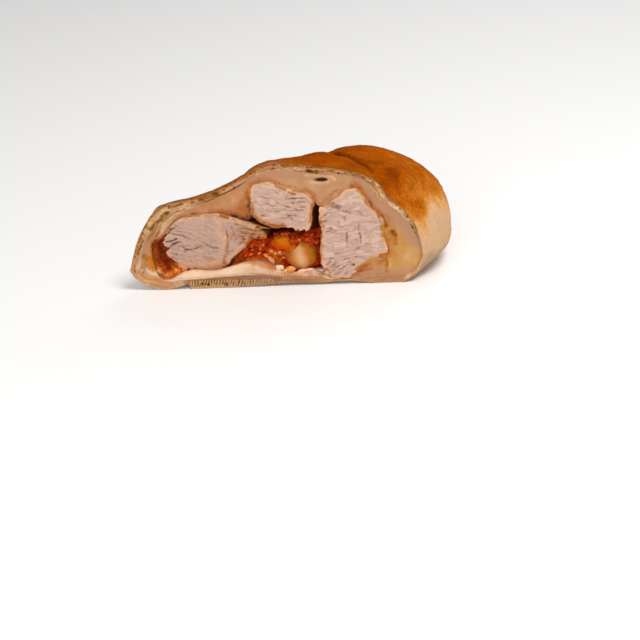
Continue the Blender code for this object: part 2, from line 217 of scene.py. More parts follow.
def noise(p, size, seed=0):
    """Smooth noise from -1 to 1 at points p; size is one distance or one for each axis."""
    q = np.asarray(p, float) / size + 13.7 * seed + 500
    i = np.floor(q).astype(np.int64)
    f = q - i
    f = f * f * (3 - 2 * f)
    total = 0.0
    for corner in np.ndindex(2, 2, 2):
        h = ((i + corner) * PRIMES).sum(-1) + seed * 2654435
        h = (h ^ (h >> 13)) * MIXER
        h = (h ^ (h >> 16)) & 0xFFFF
        total = total + np.where(corner, f, 1 - f).prod(-1) * (h / 32767.5 - 1)
    return total


def rough(p, size, layers=3, seed=0):
    """Several layers of noise, each half the size and half the strength of the last."""
    parts = [noise(p, np.array(size, float) / 2**k, seed + k) / 2**k for k in range(layers)]
    return sum(parts) / (2 - 2.0 ** (1 - layers))


def flat(points):
    """Points of the cut face (across, height) as (across, 0, height)."""
    return np.stack([points[..., 0], 0 * points[..., 0], points[..., 1]], -1)


print("noise at three points", noise(np.eye(3) * 3, 2.0).round(2))


# %% Distances
def nearest(points, line):
    """For each point, the number of the nearest point of a finely sampled line, and how far it is."""
    tree = KDTree(len(line))
    for i, p in enumerate(line):
        tree.insert((p[0], p[1], 0), i)
    tree.balance()
    return np.array([tree.find((p[0], p[1], 0))[1:] for p in points]).T


def distance(points, line):
    """How far each point is from a finely sampled line."""
    return nearest(points, line)[1]


def dense(line, step=0.08):
    """A polyline with points every `step` millimetres."""
    p = np.array(line, float)
    run = np.r_[0, np.cumsum(np.hypot(*np.diff(p, axis=0).T))]
    at = np.arange(0, run[-1] + step, step)
    return np.stack([np.interp(at, run, p[:, 0]), np.interp(at, run, p[:, 1])], 1)


def groove(points, line, width):
    """1 on a line and 0 from `width` on."""
    a, b = np.array(line[:-1], float)[:, None], np.array(line[1:], float)[:, None]
    share = (((points - a) * (b - a)).sum(-1) / ((b - a) ** 2).sum(-1)).clip(0, 1)
    return 1 - ease(0, width, np.linalg.norm(points - a - (b - a) * share[..., None], axis=-1).min(0))


def spot(points, u, z, wide, tall):
    """A soft spot round (u, z), 1 in its middle."""
    return np.exp(-(((points[:, 0] - u) / wide) ** 2) - ((points[:, 1] - z) / tall) ** 2)


def marks(points, table, keys):
    """Masks from listed strokes and spots, as (mask, strength, width, places)."""
    p = flat(points)
    wavy = points + np.stack([0.25 * noise(p, 1.1, k) + 0.16 * noise(p, 0.5, k + 2) for k in (173, 174)], 1)
    broken = (0.85 + 0.55 * noise(p, 1.3, 177)).clip(0.3, 1.2)
    masks = {key: np.zeros(len(points)) for key in keys}
    for key, strength, width, line in table:
        near = groove(wavy, line, width) if len(line) > 1 else spot(wavy, *line[0], width, width)
        masks[key] = np.maximum(masks[key], strength * near * broken)
    return masks


# %% [markdown]
# ## Filling an outline with fine triangles
# A cut surface is nearly flat but has an irregular outline, such as a torn piece of meat. An
# even lattice of points inside the outline, joined by Delaunay triangulation, gives equal
# detail everywhere, which rings drawn towards a middle would not do at notches.


# %% Fill
ROW_STEP, JITTER, CLEARANCE = 0.87, 0.2, 0.5  # of the lattice, as shares of its spacing


def inside(points, ring):
    """Whether each point lies inside a ring: a line to one side crosses it an odd number of times."""
    hit = np.zeros(len(points), bool)
    for (x0, y0), (x1, y1) in zip(ring, np.roll(ring, -1, 0)):
        crosses = (y0 > points[:, 1]) != (y1 > points[:, 1])
        hit ^= crosses & (points[:, 0] < (x1 - x0) * (points[:, 1] - y0) / (y1 - y0 + 1e-12) + x0)
    return hit


def fill(loops, spacing):
    """Points and triangles inside the first loop and outside the others. Loop points come first."""

    def kept(p):
        return inside(p, loops[0]) & ~np.any([inside(p, hole) for hole in loops[1:]] or [[False]], axis=0)

    (u0, z0), (u1, z1) = loops[0].min(0), loops[0].max(0)
    z = np.arange(z0, z1, spacing * ROW_STEP)
    u = np.arange(u0, u1, spacing)
    lattice = np.stack(np.meshgrid(u, z), -1)
    lattice[1::2, :, 0] += spacing / 2
    lattice = lattice.reshape(-1, 2)
    lattice = lattice + JITTER * spacing * np.random.default_rng(4).uniform(-1, 1, lattice.shape)
    lattice = lattice[kept(lattice)]
    lattice = lattice[distance(lattice, np.vstack(loops)) > CLEARANCE * spacing]
    edges, start = [], 0
    for loop in loops:
        edges += [(start + i, start + (i + 1) % len(loop)) for i in range(len(loop))]
        start += len(loop)
    points = np.vstack([*loops, lattice])
    made = delaunay_2d_cdt([Vector(p) for p in points], edges, [], 0, 1e-7)
    assert len(made[0]) == len(points), "an outline crosses itself"
    triangles = np.array([f for f in made[2] if len(f) == 3])
    return points, triangles[kept(points[triangles].mean(1))]


print("points in a square of 2 mm:", len(fill([2.0 * np.array(listed("0 0, 1 0, 1 1, 0 1"))], 0.3)[0]))


# %% Tubes, bands and balls
def tube(rows, columns, first):
    """Quads between rows of points that are numbered from `first`, row after row."""
    i, j = np.arange(rows - 1)[:, None] * columns + first, np.arange(columns)[None]
    k = (j + 1) % columns
    return np.stack([i + j, i + k, i + columns + k, i + columns + j], -1).reshape(-1, 4).tolist()


def band(first, second):
    """Quads between two closed rows of points, given by the numbers of their points."""
    return np.stack([first, np.roll(first, -1), np.roll(second, -1), second], 1).tolist()


def fan(first, count, tip):
    """Triangles from a closed row of points, numbered from `first`, to one tip."""
    return [[first + i, first + (i + 1) % count, tip] for i in range(count)]


def icosphere(detail):
    """Points and triangles of a ball of radius 1."""
    bm = bmesh.new()
    bmesh.ops.create_icosphere(bm, subdivisions=detail, radius=1)
    points = np.array([v.co for v in bm.verts])
    faces = np.array([[v.index for v in f.verts] for f in bm.faces])
    bm.free()
    return points, faces


def turned(x, h, angle):
    """Points of the cut's plane, turned round its zero point."""
    return x * np.cos(angle) - h * np.sin(angle), x * np.sin(angle) + h * np.cos(angle)


print("a ball of", len(icosphere(3)[1]), "triangles")

# %% Meshes
PIECES = []


def build(name, points, faces, masks, paint, *nodes):
    """A finished piece from points in millimetres. It rides on the roll and stands for some CAD nodes."""
    box = np.array([tuple(CAD_BOX[0]), tuple(CAD_BOX[1])])
    mesh = bpy.data.meshes.new(name)
    mesh.from_pydata(((points + ORIGIN) * MM).clip(*box).tolist(), [], [list(map(int, f)) for f in faces])
    for key, values in masks.items():
        mesh.attributes.new(key, "FLOAT", "POINT").data.foreach_set("value", np.asarray(values, np.float32))
    mesh.shade_smooth()
    mesh.materials.append(paint)
    piece = bpy.data.objects.new(name, mesh)
    bpy.context.scene.collection.objects.link(piece)
    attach(piece, "root")
    if nodes:
        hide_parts(*nodes)
    PIECES.append(piece)
    print(name, len(mesh.vertices), "points", sum(len(f) - 2 for f in faces), "triangles")
    return piece


print("box of the frame", [tuple(round(v, 4) for v in c) for c in CAD_BOX])

# %% [markdown]
# ## Materials as arithmetic
# A baked crust or a cut of meat is a sum of simple things: a base colour, a darker mottling
# where a mask says so, and fine bumps. Wrapping a shader socket in a small class lets those
# sums be written as ordinary expressions, and each operator adds its own Math node.


# %% Shader expressions
class Field:
    """An output socket of a material that takes part in sums."""

    def __init__(self, paint, out):
        self.paint, self.out = paint, out

    def math(self, operation, *values):
        return self.paint.node("Math", {"operation": operation}, dict(enumerate(values)))

    def __add__(self, other):
        return self.math("ADD", self, other)

    def __sub__(self, other):
        return self.math("SUBTRACT", self, other)

    def __rsub__(self, other):
        return self.math("SUBTRACT", other, self)

    def __mul__(self, other):
        return self.math("MULTIPLY", self, other)

    __radd__, __rmul__ = __add__, __mul__

    def between(self, a, b):
        """0 below a, 1 above b, soft between them."""
        sockets = {"Value": self, "From Min": a, "From Max": b}
        return self.paint.node("MapRange", {"interpolation_type": "SMOOTHSTEP"}, sockets)


print("sums of sockets ready")


# %% Materials in the making
class Paint:
    """A material in the making, with one Principled shader."""

    def __init__(self, name, **constants):
        self.material = bpy.data.materials.new(name)
        self.material.use_nodes = True
        self.tree = self.material.node_tree
        self.shader = self.tree.nodes["Principled BSDF"]
        for key, value in constants.items():
            self.shader.inputs[key.replace("_", " ").title().replace("Ior", "IOR")].default_value = value
        self.place = self.node("TexCoord", out="Object")

    def node(self, kind, settings=None, sockets=None, out=0):
        """Adds a node: its settings first, then the values or links of its sockets."""
        made = self.tree.nodes.new("ShaderNode" + kind)
        for key, value in (settings or {}).items():
            setattr(made, key, value)
        for key, value in (sockets or {}).items():
            self.feed(made.inputs[key], value)
        return Field(self, made.outputs[out])

    def feed(self, socket, value):
        if isinstance(value, Field):
            self.tree.links.new(value.out, socket)
        else:
            socket.default_value = value

    def mask(self, name):
        """A number that the mesh carries at each point."""
        return self.node("Attribute", {"attribute_name": name}, out="Fac")

    def speckle(self, size, detail=3.0, stretch=None, warp=0.0):
        """Noise from about 0 to 1, with blobs of `size` millimetres."""
        at = self.place
        if stretch:
            at = self.node("VectorMath", {"operation": "MULTIPLY"}, {0: at, 1: stretch})
        sockets = {"Vector": at, "Scale": 1 / (size * MM), "Detail": detail, "Distortion": warp}
        return self.node("TexNoise", sockets=sockets)

    def layers(self, colour, *steps):
        """A colour with others laid over it in turn, each where its mask is above 0."""
        for mask, over in steps:
            a, b = ((*c, 1.0) if isinstance(c, tuple) else c for c in (colour, over))
            colour = self.node("Mix", {"data_type": "RGBA"}, {0: mask, 6: a, 7: b}, out=2)
        return colour

    def bump(self, height, depth_mm, strength):
        sockets = {"Height": height, "Distance": depth_mm * MM, "Strength": strength}
        return self.node("Bump", sockets=sockets)

    def finish(self, **links):
        for key, value in links.items():
            self.feed(self.shader.inputs[key.replace("_", " ").title()], value)
        print(self.material.name, len(self.tree.nodes), "nodes")
        return self.material


print("shader helpers ready")

# %% [markdown]
# ## The baked crust's finish
# Dough browns where the oven's heat reaches it: pale cream low on the sides, golden above,
# and mottled orange to deep brown on top. The mesh carries a mask of how far each place has
# baked, which low down, where the side turns under, also carries painted shade. The material
# turns it into colour through five steps and breaks it up with speckles of several sizes, as
# real crust shows.


# %% Crust material
def crust_paint():
    p = Paint("baked_crust", subsurface_weight=0.03, subsurface_scale=0.002, specular_ior_level=0.001)
    bake_and_shade = p.mask("bake_and_shade") + (p.speckle(6.0, 4.0, warp=0.4) - 0.5) * 0.4 + (p.speckle(1.3, 4.0) - 0.5) * 0.5
    flour = p.speckle(0.9, 2.0).between(0.5, 0.8) * (1 - bake_and_shade.between(0.15, 0.5)) * 0.3
    dull = p.speckle(2.6, 4.0, warp=0.5).between(0.52, 0.75) * (1 - bake_and_shade.between(0.1, 0.4)) * 0.35
    colour = p.layers(
        # The first and darkest of the pale colours is painted shade where the side turns under.
        (0.5, 0.31, 0.185),
        (bake_and_shade.between(-0.4, 0.0), (0.67, 0.41, 0.232)),
        (bake_and_shade.between(0.02, 0.32), (0.69, 0.325, 0.088)),
        (bake_and_shade.between(0.2, 0.5), (0.565, 0.183, 0.017)),
        (bake_and_shade.between(0.44, 0.76), (0.385, 0.077, 0.0014)),
        (bake_and_shade.between(0.7, 1.1), (0.22, 0.035, 0.001)),
        (flour, (0.8, 0.6, 0.4)),
        (dull, (0.5, 0.27, 0.14)),
        # Painted shade in the crease at the foot of the flap's step.
        (p.mask("crease_shade"), (0.13, 0.022, 0.002)),
    )
    height = p.speckle(1.4, 4.0) + p.speckle(0.35, 2.0) * 0.3
    normal = p.bump(height, 0.3, 0.9)
    return p.finish(base_color=colour, roughness=0.48 + p.speckle(2.0, 2.0) * 0.2, normal=normal)


CRUST = crust_paint()

# %% [markdown]
# ## The cut bread's finish
# The cut shows a thin brown rim, a pale crumb with bubbles, and a damp inner layer that has
# soaked up cheese and sauce. Each of these is a mask on the mesh, so the colours follow the
# real bubbles and layers and not a pattern laid over them.


# %% Crumb material
def crumb_paint():
    p = Paint("cut_bread", subsurface_weight=0.06, subsurface_scale=0.002, specular_ior_level=0.15)
    fine, blotch = p.speckle(0.8, 3.0), p.speckle(3.0, 3.0, warp=0.5)
    colour = p.layers(
        (0.42, 0.2, 0.088),
        (fine.between(0.3, 0.7), (0.54, 0.3, 0.145)),
        (p.mask("moist") * (0.5 + blotch * 0.8), (0.475, 0.22, 0.105)),
        (p.mask("damp") * (0.6 + fine * 0.6), (0.33, 0.15, 0.07)),
        (p.mask("pale") * (0.45 + fine * 0.9), (0.92, 0.66, 0.36)),
        (p.mask("cream") * (0.6 + blotch * 0.6), (0.88, 0.64, 0.46)),
        (p.mask("soak") * (0.45 + blotch * 1.0), (0.55, 0.17, 0.01)),
        # Sauce stain by the hollow, and painted shade on the hollow's walls, darker the deeper they go.
        (p.mask("stain") * (0.5 + blotch * 0.8), (0.15, 0.014, 0.002)),
        (p.mask("rim") * (0.6 + blotch * 0.8), (0.32, 0.085, 0.006)),
        # Bubbles, layer lines and rib gaps are golden brown, and darker still where deepest, as painted
        # shade in the holes.
        (p.mask("pit").between(0.0, 0.7), (0.3, 0.115, 0.014)),
        (p.mask("pit").between(0.6, 1.3), (0.09, 0.03, 0.006)),
    )
    normal = p.bump(p.speckle(0.5, 4.0), 0.2, 0.8)
    dullness = 0.55 - p.mask("cream") * 0.2 - p.mask("moist") * 0.12
    return p.finish(base_color=colour, roughness=dullness, normal=normal)


CRUMB = crumb_paint()

# %% [markdown]
# ## The fillings' finishes
# Chicken breast is pinkish grey with short wavy fibres and darker gaps, and browns where the
# sauce touches it. Melted cheese is smooth and a little glossy. Tomato sauce is deep red,
# wet and full of pulp. Light goes a little way into all of them, hence the subsurface.


# %% Meat material
def meat_paint():
    p = Paint("chicken_meat", subsurface_weight=0.08, subsurface_scale=0.002, specular_ior_level=0.1)
    fine, fibre = p.speckle(0.5, 3.0, (0.5, 1, 1.4)), p.mask("fibre") + (p.speckle(1.1, 3.0) - 0.5) * 0.3
    colour = p.layers(
        (0.28, 0.145, 0.09),
        # Fibre colour: the gaps darker and the crests lighter, painted shade and a painted highlight on the
        # fibres' relief.
        (fibre.between(0.0, 0.5), (0.575, 0.372, 0.284)),
        (fibre.between(0.5, 1.0), (0.75, 0.55, 0.45)),
        (fine.between(0.35, 0.75) * 0.3, (0.48, 0.3, 0.24)),
        (p.mask("peach"), (0.74, 0.42, 0.24)),
        (p.mask("stain") * (0.35 + p.speckle(1.6, 3.0) * 1.2), (0.36, 0.11, 0.012)),
        # Painted shade in cracks, gaps and torn edges, and on the sides behind the face.
        (p.mask("dark"), (0.055, 0.005, 0.001)),
    )
    normal = p.bump(fine + p.speckle(0.25, 2.0) * 0.4, 0.15, 0.7)
    dullness = 0.5 - p.mask("stain") * 0.15 + p.mask("dark") * 0.5
    return p.finish(base_color=colour, roughness=dullness, normal=normal)


MEAT = meat_paint()


# %% Cheese material
def cheese_paint(name, thick, thin, weight=0.1, shine=0.2, glow=(0.78, 0.47, 0.25)):
    p = Paint(name, subsurface_weight=weight, subsurface_scale=0.002, specular_ior_level=shine)
    colour = p.layers(
        thick,
        (p.speckle(5.0, 3.0).between(0.3, 0.7), thin),
        (p.mask("dough") * (0.75 + p.speckle(1.5, 2.0) * 0.5), (0.47, 0.235, 0.125)),
        # The colour glow is cream on some pieces and a painted highlight on others.
        (p.mask("pale") * 0.9, glow),
        (p.mask("stain") * (0.4 + p.speckle(2.0, 3.0) * 1.1), (0.4, 0.1, 0.005)),
        # Painted shade in slits, bubbles and the gaps along the chicken.
        (p.mask("dark"), (0.045, 0.007, 0.002)),
    )
    normal = p.bump(p.speckle(2.2, 3.0) + p.speckle(0.5, 2.0) * 0.15, 0.2, 0.6)
    return p.finish(base_color=colour, roughness=0.38 + p.speckle(3.0) * 0.15, normal=normal)


CHEESE_TOP = cheese_paint("melted_cheese_pale", (0.5, 0.24, 0.11), (0.56, 0.31, 0.15))
CHEESE_RIGHT = cheese_paint("melted_cheese_golden", (0.54, 0.235, 0.046), (0.56, 0.29, 0.075))


# %% Sauce material
def sauce_paint(name, deep, bright):
    p = Paint(name, specular_ior_level=0.02, coat_weight=0.05, coat_roughness=0.07)
    pulp = p.speckle(2.0, 3.0, warp=0.4)
    warm = p.speckle(4.0, 2.0, warp=0.5).between(0.52, 0.72) * 0.25 + p.mask("orange") * (0.3 + pulp)
    colour = p.layers(
        deep,
        (pulp.between(0.35, 0.6), bright),
        (warm, (0.68, 0.15, 0.006)),
        (p.mask("pale") * (0.4 + pulp), (0.9, 0.38, 0.12)),
        # Painted shade under and beside the pieces.
        (p.mask("dark"), (0.05, 0.004, 0.001)),
    )
    normal = p.bump(pulp + p.speckle(0.7, 2.0) * 0.3, 0.5, 0.6)
    return p.finish(base_color=colour, roughness=0.35 + p.speckle(1.0) * 0.15, normal=normal)


SAUCE = sauce_paint("tomato_sauce_wet", (0.26, 0.008, 0.0005), (0.64, 0.045, 0.001))
BROWN_SAUCE = sauce_paint("dark_sauce_wet", (0.16, 0.011, 0.0005), (0.32, 0.04, 0.001))

# %% [markdown]
# ## The crust
# The outer skin is a tube of rings, one for each depth, from the cut to the blunt tail. The
# flap is a real step in it: behind the flap's edge the skin stands 2 to 4 mm proud. The
# points crowd together near that edge, so the step stays crisp without a heavier mesh.

# %% Section of the loaf
TOP, BASE = 1056, 672


def loaf_ring():
    """A plain loaf section in cut face coordinates: domed, with a flat underside."""
    tip = 0.26
    a = np.linspace(np.pi, 0, TOP + 1)[:-1]
    slope = 0.97 + 0.2 * ease(0, -0.5, np.cos(a))
    top_u = np.sign(np.cos(a)) * np.abs(np.cos(a)) ** slope
    top_z = tip + (1 - tip) * np.abs(np.sin(a)) ** slope
    a = np.linspace(0, -np.pi, BASE + 1)[:-1]
    base_u = np.sign(np.cos(a)) * np.abs(np.cos(a)) ** 0.42
    base_z = tip * np.clip(1 - np.abs(np.sin(a)) ** 0.55 / 0.9, 0, 1)
    u = CUT_MIDDLE + np.r_[top_u, base_u] * CUT_WIDTH / 2
    return np.stack([u, np.r_[top_z, base_z] * CUT_HEIGHT], 1)


CUT_RING = np.vstack([rounded(CUT_CROWN, TOP + 1, False)[:-1], rounded(CUT_BASE, BASE + 1, False)[:-1]])
LOAF = loaf_ring()


def ragged(ring):
    """Moves an outline of the cut inwards here and there, as a knife leaves the bread's edge."""
    p = flat(ring)
    bite = 0.32 * np.maximum(rough(p, 2.6, 2, 3), 0) + 0.5 * np.maximum(noise(p, 9, 8), 0) * 0.5
    return ring + (CUT_HEART - ring) * (bite / np.hypot(*(ring - CUT_HEART).T))[:, None]


RAGGED_CUT = ragged(CUT_RING)


def body_ring(d):
    """The dough's section at depth d, without the flap."""
    w = ease(3, 50, d)
    k = (np.arange(TOP + BASE) - TOP) * 28 / BASE
    wz = w + (ease(0, 16, d) - w) * ease(0, 1, k) * ease(28, 27, k)
    cut = CUT_RING + (RAGGED_CUT - CUT_RING) * (1 - ease(0, 3.5, d))
    x, y, z = warp(cut[:, 0] * (1 - w) + LOAF[:, 0] * w, cut[:, 1] * (1 - wz) + LOAF[:, 1] * wz, d).T
    z = np.maximum(z, 0)
    z = z + 3.8 * np.exp(-(((x - 22) / 10) ** 2) - ((y - 18) / 10) ** 2) * ease(20, 45, z)
    lift = TAIL_RISE * ease(74, BODY_DEPTH, d)
    z = z + lift * (1 - z / (z.max() + 1e-6))
    return np.stack([x, y, z], 1)


print("section 40 mm back:", np.ptp(body_ring(40.0), axis=0).round(1))

# %% Flap edge
EDGE_LINE = rounded(FLAP_EDGE, 400, closed=False)


def behind_edge(x, y):
    """Distance behind the flap's edge in plan; negative in front of it."""
    order = np.argsort(EDGE_LINE[:, 1])
    across, depth = EDGE_LINE[order].T
    slope = np.gradient(across, depth)
    shift = x - np.interp(y, depth, across) - slope[-1] * np.maximum(y - depth[-1], 0)
    return shift / np.sqrt(1 + np.interp(y, depth, slope) ** 2)


print("10 mm right of the edge at 30 mm depth:", round(float(behind_edge(44.6, 30.0)), 1))

# %% Crust grid
AROUND, ALONG = 600, 150
CROWDING, CROWD_WIDTH = 5, 1.8  # of points at the flap's edge, and within how many millimetres


def crust_rings():
    """The dough's sections as rings of points, closer together where the outline changes fast."""
    fine = np.linspace(0, BODY_DEPTH, 3000)
    pace = np.hypot(1, 0.75 * np.gradient(law(RIGHT_SIDE, fine) + law(HEIGHT, fine), fine))
    run = np.r_[0, np.cumsum(pace[1:])] + 0.25 * fine
    rings = []
    for d in np.interp(np.linspace(0, run[-1], ALONG), run, fine):
        p = body_ring(d)
        closed = np.vstack([p, p[:1]])
        mid = (closed[1:] + closed[:-1]) / 2
        past = behind_edge(mid[:, 0], mid[:, 1])
        past = past - max(past[mid[:, 2] > 6].min(), 0)
        crowd = 1 + CROWDING * np.exp(-((past / CROWD_WIDTH) ** 2)) * ease(3, 9, mid[:, 2])
        steps = np.linalg.norm(np.diff(closed, axis=0), axis=1) * crowd
        at = np.r_[0, np.cumsum(steps)]
        where = np.linspace(0, at[-1], AROUND, endpoint=False)
        rings.append(np.stack([np.interp(where, at, closed[:, k]) for k in range(3)], 1))
    return np.array(rings)


rings = crust_rings()
print("crust grid", rings.shape, "last ring", np.ptp(rings[-1], axis=0).round(1))


# %% Flap, wrinkles and blisters
def outward(rings):
    """The direction that points straight out of the skin at each of its points."""
    along_ring = np.roll(rings, -1, 1) - np.roll(rings, 1, 1)
    n = np.cross(along_ring, np.gradient(rings, axis=0))
    n /= np.linalg.norm(n, axis=-1, keepdims=True) + 1e-9
    heart = rings.mean(1, keepdims=True)
    return n * np.sign(((rings - heart) * n).sum(-1).mean())


x, y, z = np.moveaxis(rings, -1, 0)
back = behind_edge(x, y) + 1.0 + 0.7 * rough(rings, 7, 3, 21)
swell = 0.85 + 0.65 * np.exp(-(((back - 13) / 9) ** 2)) - 0.5 * ease(18, 44, back)
step = np.maximum(FLAP_STEP * swell * ease(2, 12, z) * ease(-3, 12, y) - 0.35, 0)
lip = 1 + 0.1 * np.exp(-(((back - 2) / 2) ** 2)) - 0.12 * ease(2, 0.6, back)
radial = rings - np.stack([rings[..., 0].mean(1), y[:, 0], 0 * y[:, 0] + 14], -1)[:, None]
radial[..., 1] = 0
radial /= np.linalg.norm(radial, axis=-1, keepdims=True) + 1e-9
skin = rings + radial * (step * lip * ease(-0.5, 0.6, back))[..., None]

calm = ease(0.2, 4, y) * ease(0.3, 4, z)
dents = 0.55 * rough(rings, 16, 2, 5) + 0.22 * rough(rings, 4.5, 3, 9) - 0.3
wrinkle = noise(rings, (9.0, 1.6, 7.0), 31) * ease(0.1, 0.6, noise(rings, 17, 33))
blister = np.maximum(noise(rings, 2.4, 41) - 0.45, 0)
skin = skin + outward(rings) * ((dents + 0.22 * wrinkle + 0.5 * blister) * calm)[..., None]
print("flap stands", round(float(step.max()), 2), "mm proud at most")

# %% Browning
def ball(x, y, z, wide):
    """A soft spot round a point, in three directions."""
    return np.exp(-((rings - (x, y, z)) ** 2).sum(-1) / wide**2)


# Strength, place and width of spots that have baked more, or less.
BAKED_SPOTS = listed("0.3 51 7 48 5, -0.1 60 30 44 12, 0.12 69 13 36 9, 0.42 61 4 32 8, -0.28 71 13 28 5.5")
share = z / law(HEIGHT, y)
low_side = share + 0.11 * rough(rings, 20, 2, 51) + 0.05 * rough(rings, 5, 2, 52)
bake_and_shade = 0.62 * ease(0.38, 0.76, low_side) + 0.2 * ease(0.66, 1.0, low_side) + 0.08 * wrinkle
bake_and_shade = bake_and_shade * (1 + 0.25 * rough(rings, 12, 3, 53))
for strength, *spot_place in BAKED_SPOTS:
    bake_and_shade = bake_and_shade + strength * ball(*spot_place)
bake_and_shade = (bake_and_shade + 0.05 * ease(0.8, 0.95, share)) * (1 - 0.45 * ease(-35, -55, x) * ease(20, 5, y))
# Painted shade: the lowest part of the side, where it turns under, is pushed down to the darkest pale
# colour.
bake_and_shade = bake_and_shade - 0.5 * ease(0.36, 0.02, share)
# Painted shade: darker along the foot of the flap's step, where shade falls in the crease.
crease_shade = ease(-1.2, -0.45, back) * ease(0.25, -0.2, back) * ease(0.3, 1.2, step)
print("baked from", bake_and_shade.min().round(2), "to", bake_and_shade.max().round(2))

# %% Crust piece
points = np.vstack([skin.reshape(-1, 3), skin[-1].mean(0)])
faces = tube(ALONG, AROUND, 0) + fan((ALONG - 1) * AROUND, AROUND, ALONG * AROUND)
masks = {"bake_and_shade": np.r_[bake_and_shade.ravel(), 0.4], "crease_shade": np.r_[0.75 * crease_shade.ravel(), 0]}
build("baked_dough_crust", points, faces, masks, CRUST, "dough")

# %% [markdown]
# ## The cut bread
# The cut face of the dough is a band between the crust and the hollow. Bubbles are pits in
# it, drawn out along the layers as rolling stretches them. A few large ones are listed one by
# one where a loaf like this shows them, and small ones are scattered with a fixed seed.

# %% Marks on the cut bread
BREAD_MARKS = strokes("""
pit 1 1.8: -55.6 29, -53.7 30.8, -51.4 33.1, -49.5 34.9, -47.7 36.5
pale 1 0.7: -51.9 38.5, -49.7 38, -47.7 36.5
pit 0.7 0.8: -59.7 23, -60.8 20.6, -62.1 17.3
soak 1.2 2: -58.9 16, -56.9 15.7, -55.7 13.4, -53.6 12.6
soak 0.8 1.6: -53.8 16
pit 0.6 2.2: -59.6 15.8, -58.4 15.2
soak 1.1 3: -57 13.4, -55 11.6
soak 0.7 0.6: -50.7 9.6, -50.4 7.2, -49.7 4.7
cream 0.75 3.4: -57.2 7.8, -53 7.4
pit 0.5 0.6: -60.5 8.5
soak 0.5 5: -60 5.5, -50 3
cream 0.25 3.6: -52 2.7, -44 2.7
pale 0.8 0.6: -54.4 24.2, -52.8 24.9, -50.5 26.7, -48.1 28.8, -45.8 31.3
pit 0.5 0.7: -54.9 26.1, -51.5 30.8, -47.8 34.2, -43.3 37.1, -38.8 38.6
pit 1.1 2.4: -32.9 42.6, -30.7 43.4, -28.1 44.3, -25.4 44.9
pit 0.8 0.8: -22.6 47.7, -21 48.3; 3.1 56.4, 6.6 55.8
pale 0.7 0.6: -8.7 52.7, -3.4 54.6, 1.8 54.8, 7 54.9, 11.7 54.5, 21.2 54.9
pit 0.75 1: 8 54.2, 11.3 53.4
pit 1.1 1.6: 13.5 53.8, 17.6 53.4
pit 0.7 1.2: -46 39, -41 40.6
pit 1.2 0.8: 27.3 52.2, 27.4 52.6; 48.9 33.8, 49.7 33.3
pale 0.9 0.7: 21.2 53.5, 24.3 52.9, 26.5 51.2
pale 1 1.5: 26.8 52.6, 32 51.4, 36.4 50.4, 40.7 49.3, 43.4 47.3, 45.2 45.4, 44.9 43
pale 1 1.6: 44.9 43, 46.2 40.6, 49 38.2, 52.4 35.9, 55.2 33.8, 57.8 31, 59.9 28.4
pit 1.1 0.6: 43.3 42.9, 43.4 42
pit 0.9 0.8: 47 37.2, 47.6 36.8
pit 1.2 0.7: 51.1 34.3, 52.2 34.1
pit 0.9 0.9: 57 31.3, 57.8 30.8
pit 0.95 1.1: 58.6 27.3, 59.8 25.3""")
DOTS = listed("""
-54.6 36.5 0.5, -55.9 34 0.6, -57.4 31 0.5, -59.2 27.5 0.5, -60 24.9 0.6, -18 47.4 0.5, -1.2 55.2 0.5,
25.1 53.9 0.5, 29.4 51.7 0.5, 32.9 53.2 0.6, 58.8 29.4 0.5, 59.3 23.2 0.5, 60.8 23.4 0.4, -40.2 42 0.7,
-37 42.6 0.5""")
RIB_HOLES = listed("-34.2 1.9 0.6, -31.5 1.7 0.6, -28 1.7 0.7, -25.1 2.1 0.6, -23.6 1.3 0.8")
BREAD_MARKS += [("pit", 0.8, 1.4 * size, [(u, z)]) for u, z, size in DOTS]
BREAD_MARKS += [("pit", 1.3, size, [(u, z)]) for u, z, size in RIB_HOLES]
print(len(BREAD_MARKS), "marks placed by hand on the cut bread")

# %% Small bubbles
BREAD_SPACING, SMALL_BUBBLES, RIM_BUBBLES = 0.32, 150, 50
outer = rounded(RAGGED_CUT[::8], 1100)
inner = rounded(CAVITY, 1000)
points, triangles = fill([outer, inner], BREAD_SPACING)
place, from_crust = nearest(points, outer)
along, from_hollow = 0.3 * place, distance(points, inner)
keys = ("rim", "pit", "moist", "damp", "soak", "stain", "cream", "pale")
by_hand = marks(points, BREAD_MARKS, keys)
chance = np.random.default_rng(12)
fit = np.flatnonzero((from_crust > 0.6) & (from_crust < 3.0) & (from_hollow > 0.9) & (points[:, 1] > 9))
wavy = points + 0.2 * np.stack([noise(flat(points), 0.7, 175), noise(flat(points), 0.7, 176)], 1)
bubbles = np.zeros(len(points))
rim = np.flatnonzero((from_crust > 0.25) & (from_crust < 1.1) & (points[:, 0] < -36) & (points[:, 1] > 16))
small = chance.choice(fit, SMALL_BUBBLES, replace=False)
at_rim = chance.choice(rim, RIM_BUBBLES, replace=False)
for i in np.r_[small, at_rim]:
    j = np.argmin(((outer - points[i]) ** 2).sum(1))
    reach = outer[(j + 3) % len(outer)] - outer[j - 3]
    reach = reach / np.hypot(*reach) * chance.uniform(0.05, 0.6)
    hole = groove(wavy, [points[i] - reach, points[i] + reach], chance.uniform(0.3, 0.55))
    bubbles = np.maximum(bubbles, hole * chance.uniform(0.4, 1.1))
print(len(points), "points,", int((bubbles > 0.5).sum()), "of them in small bubbles")

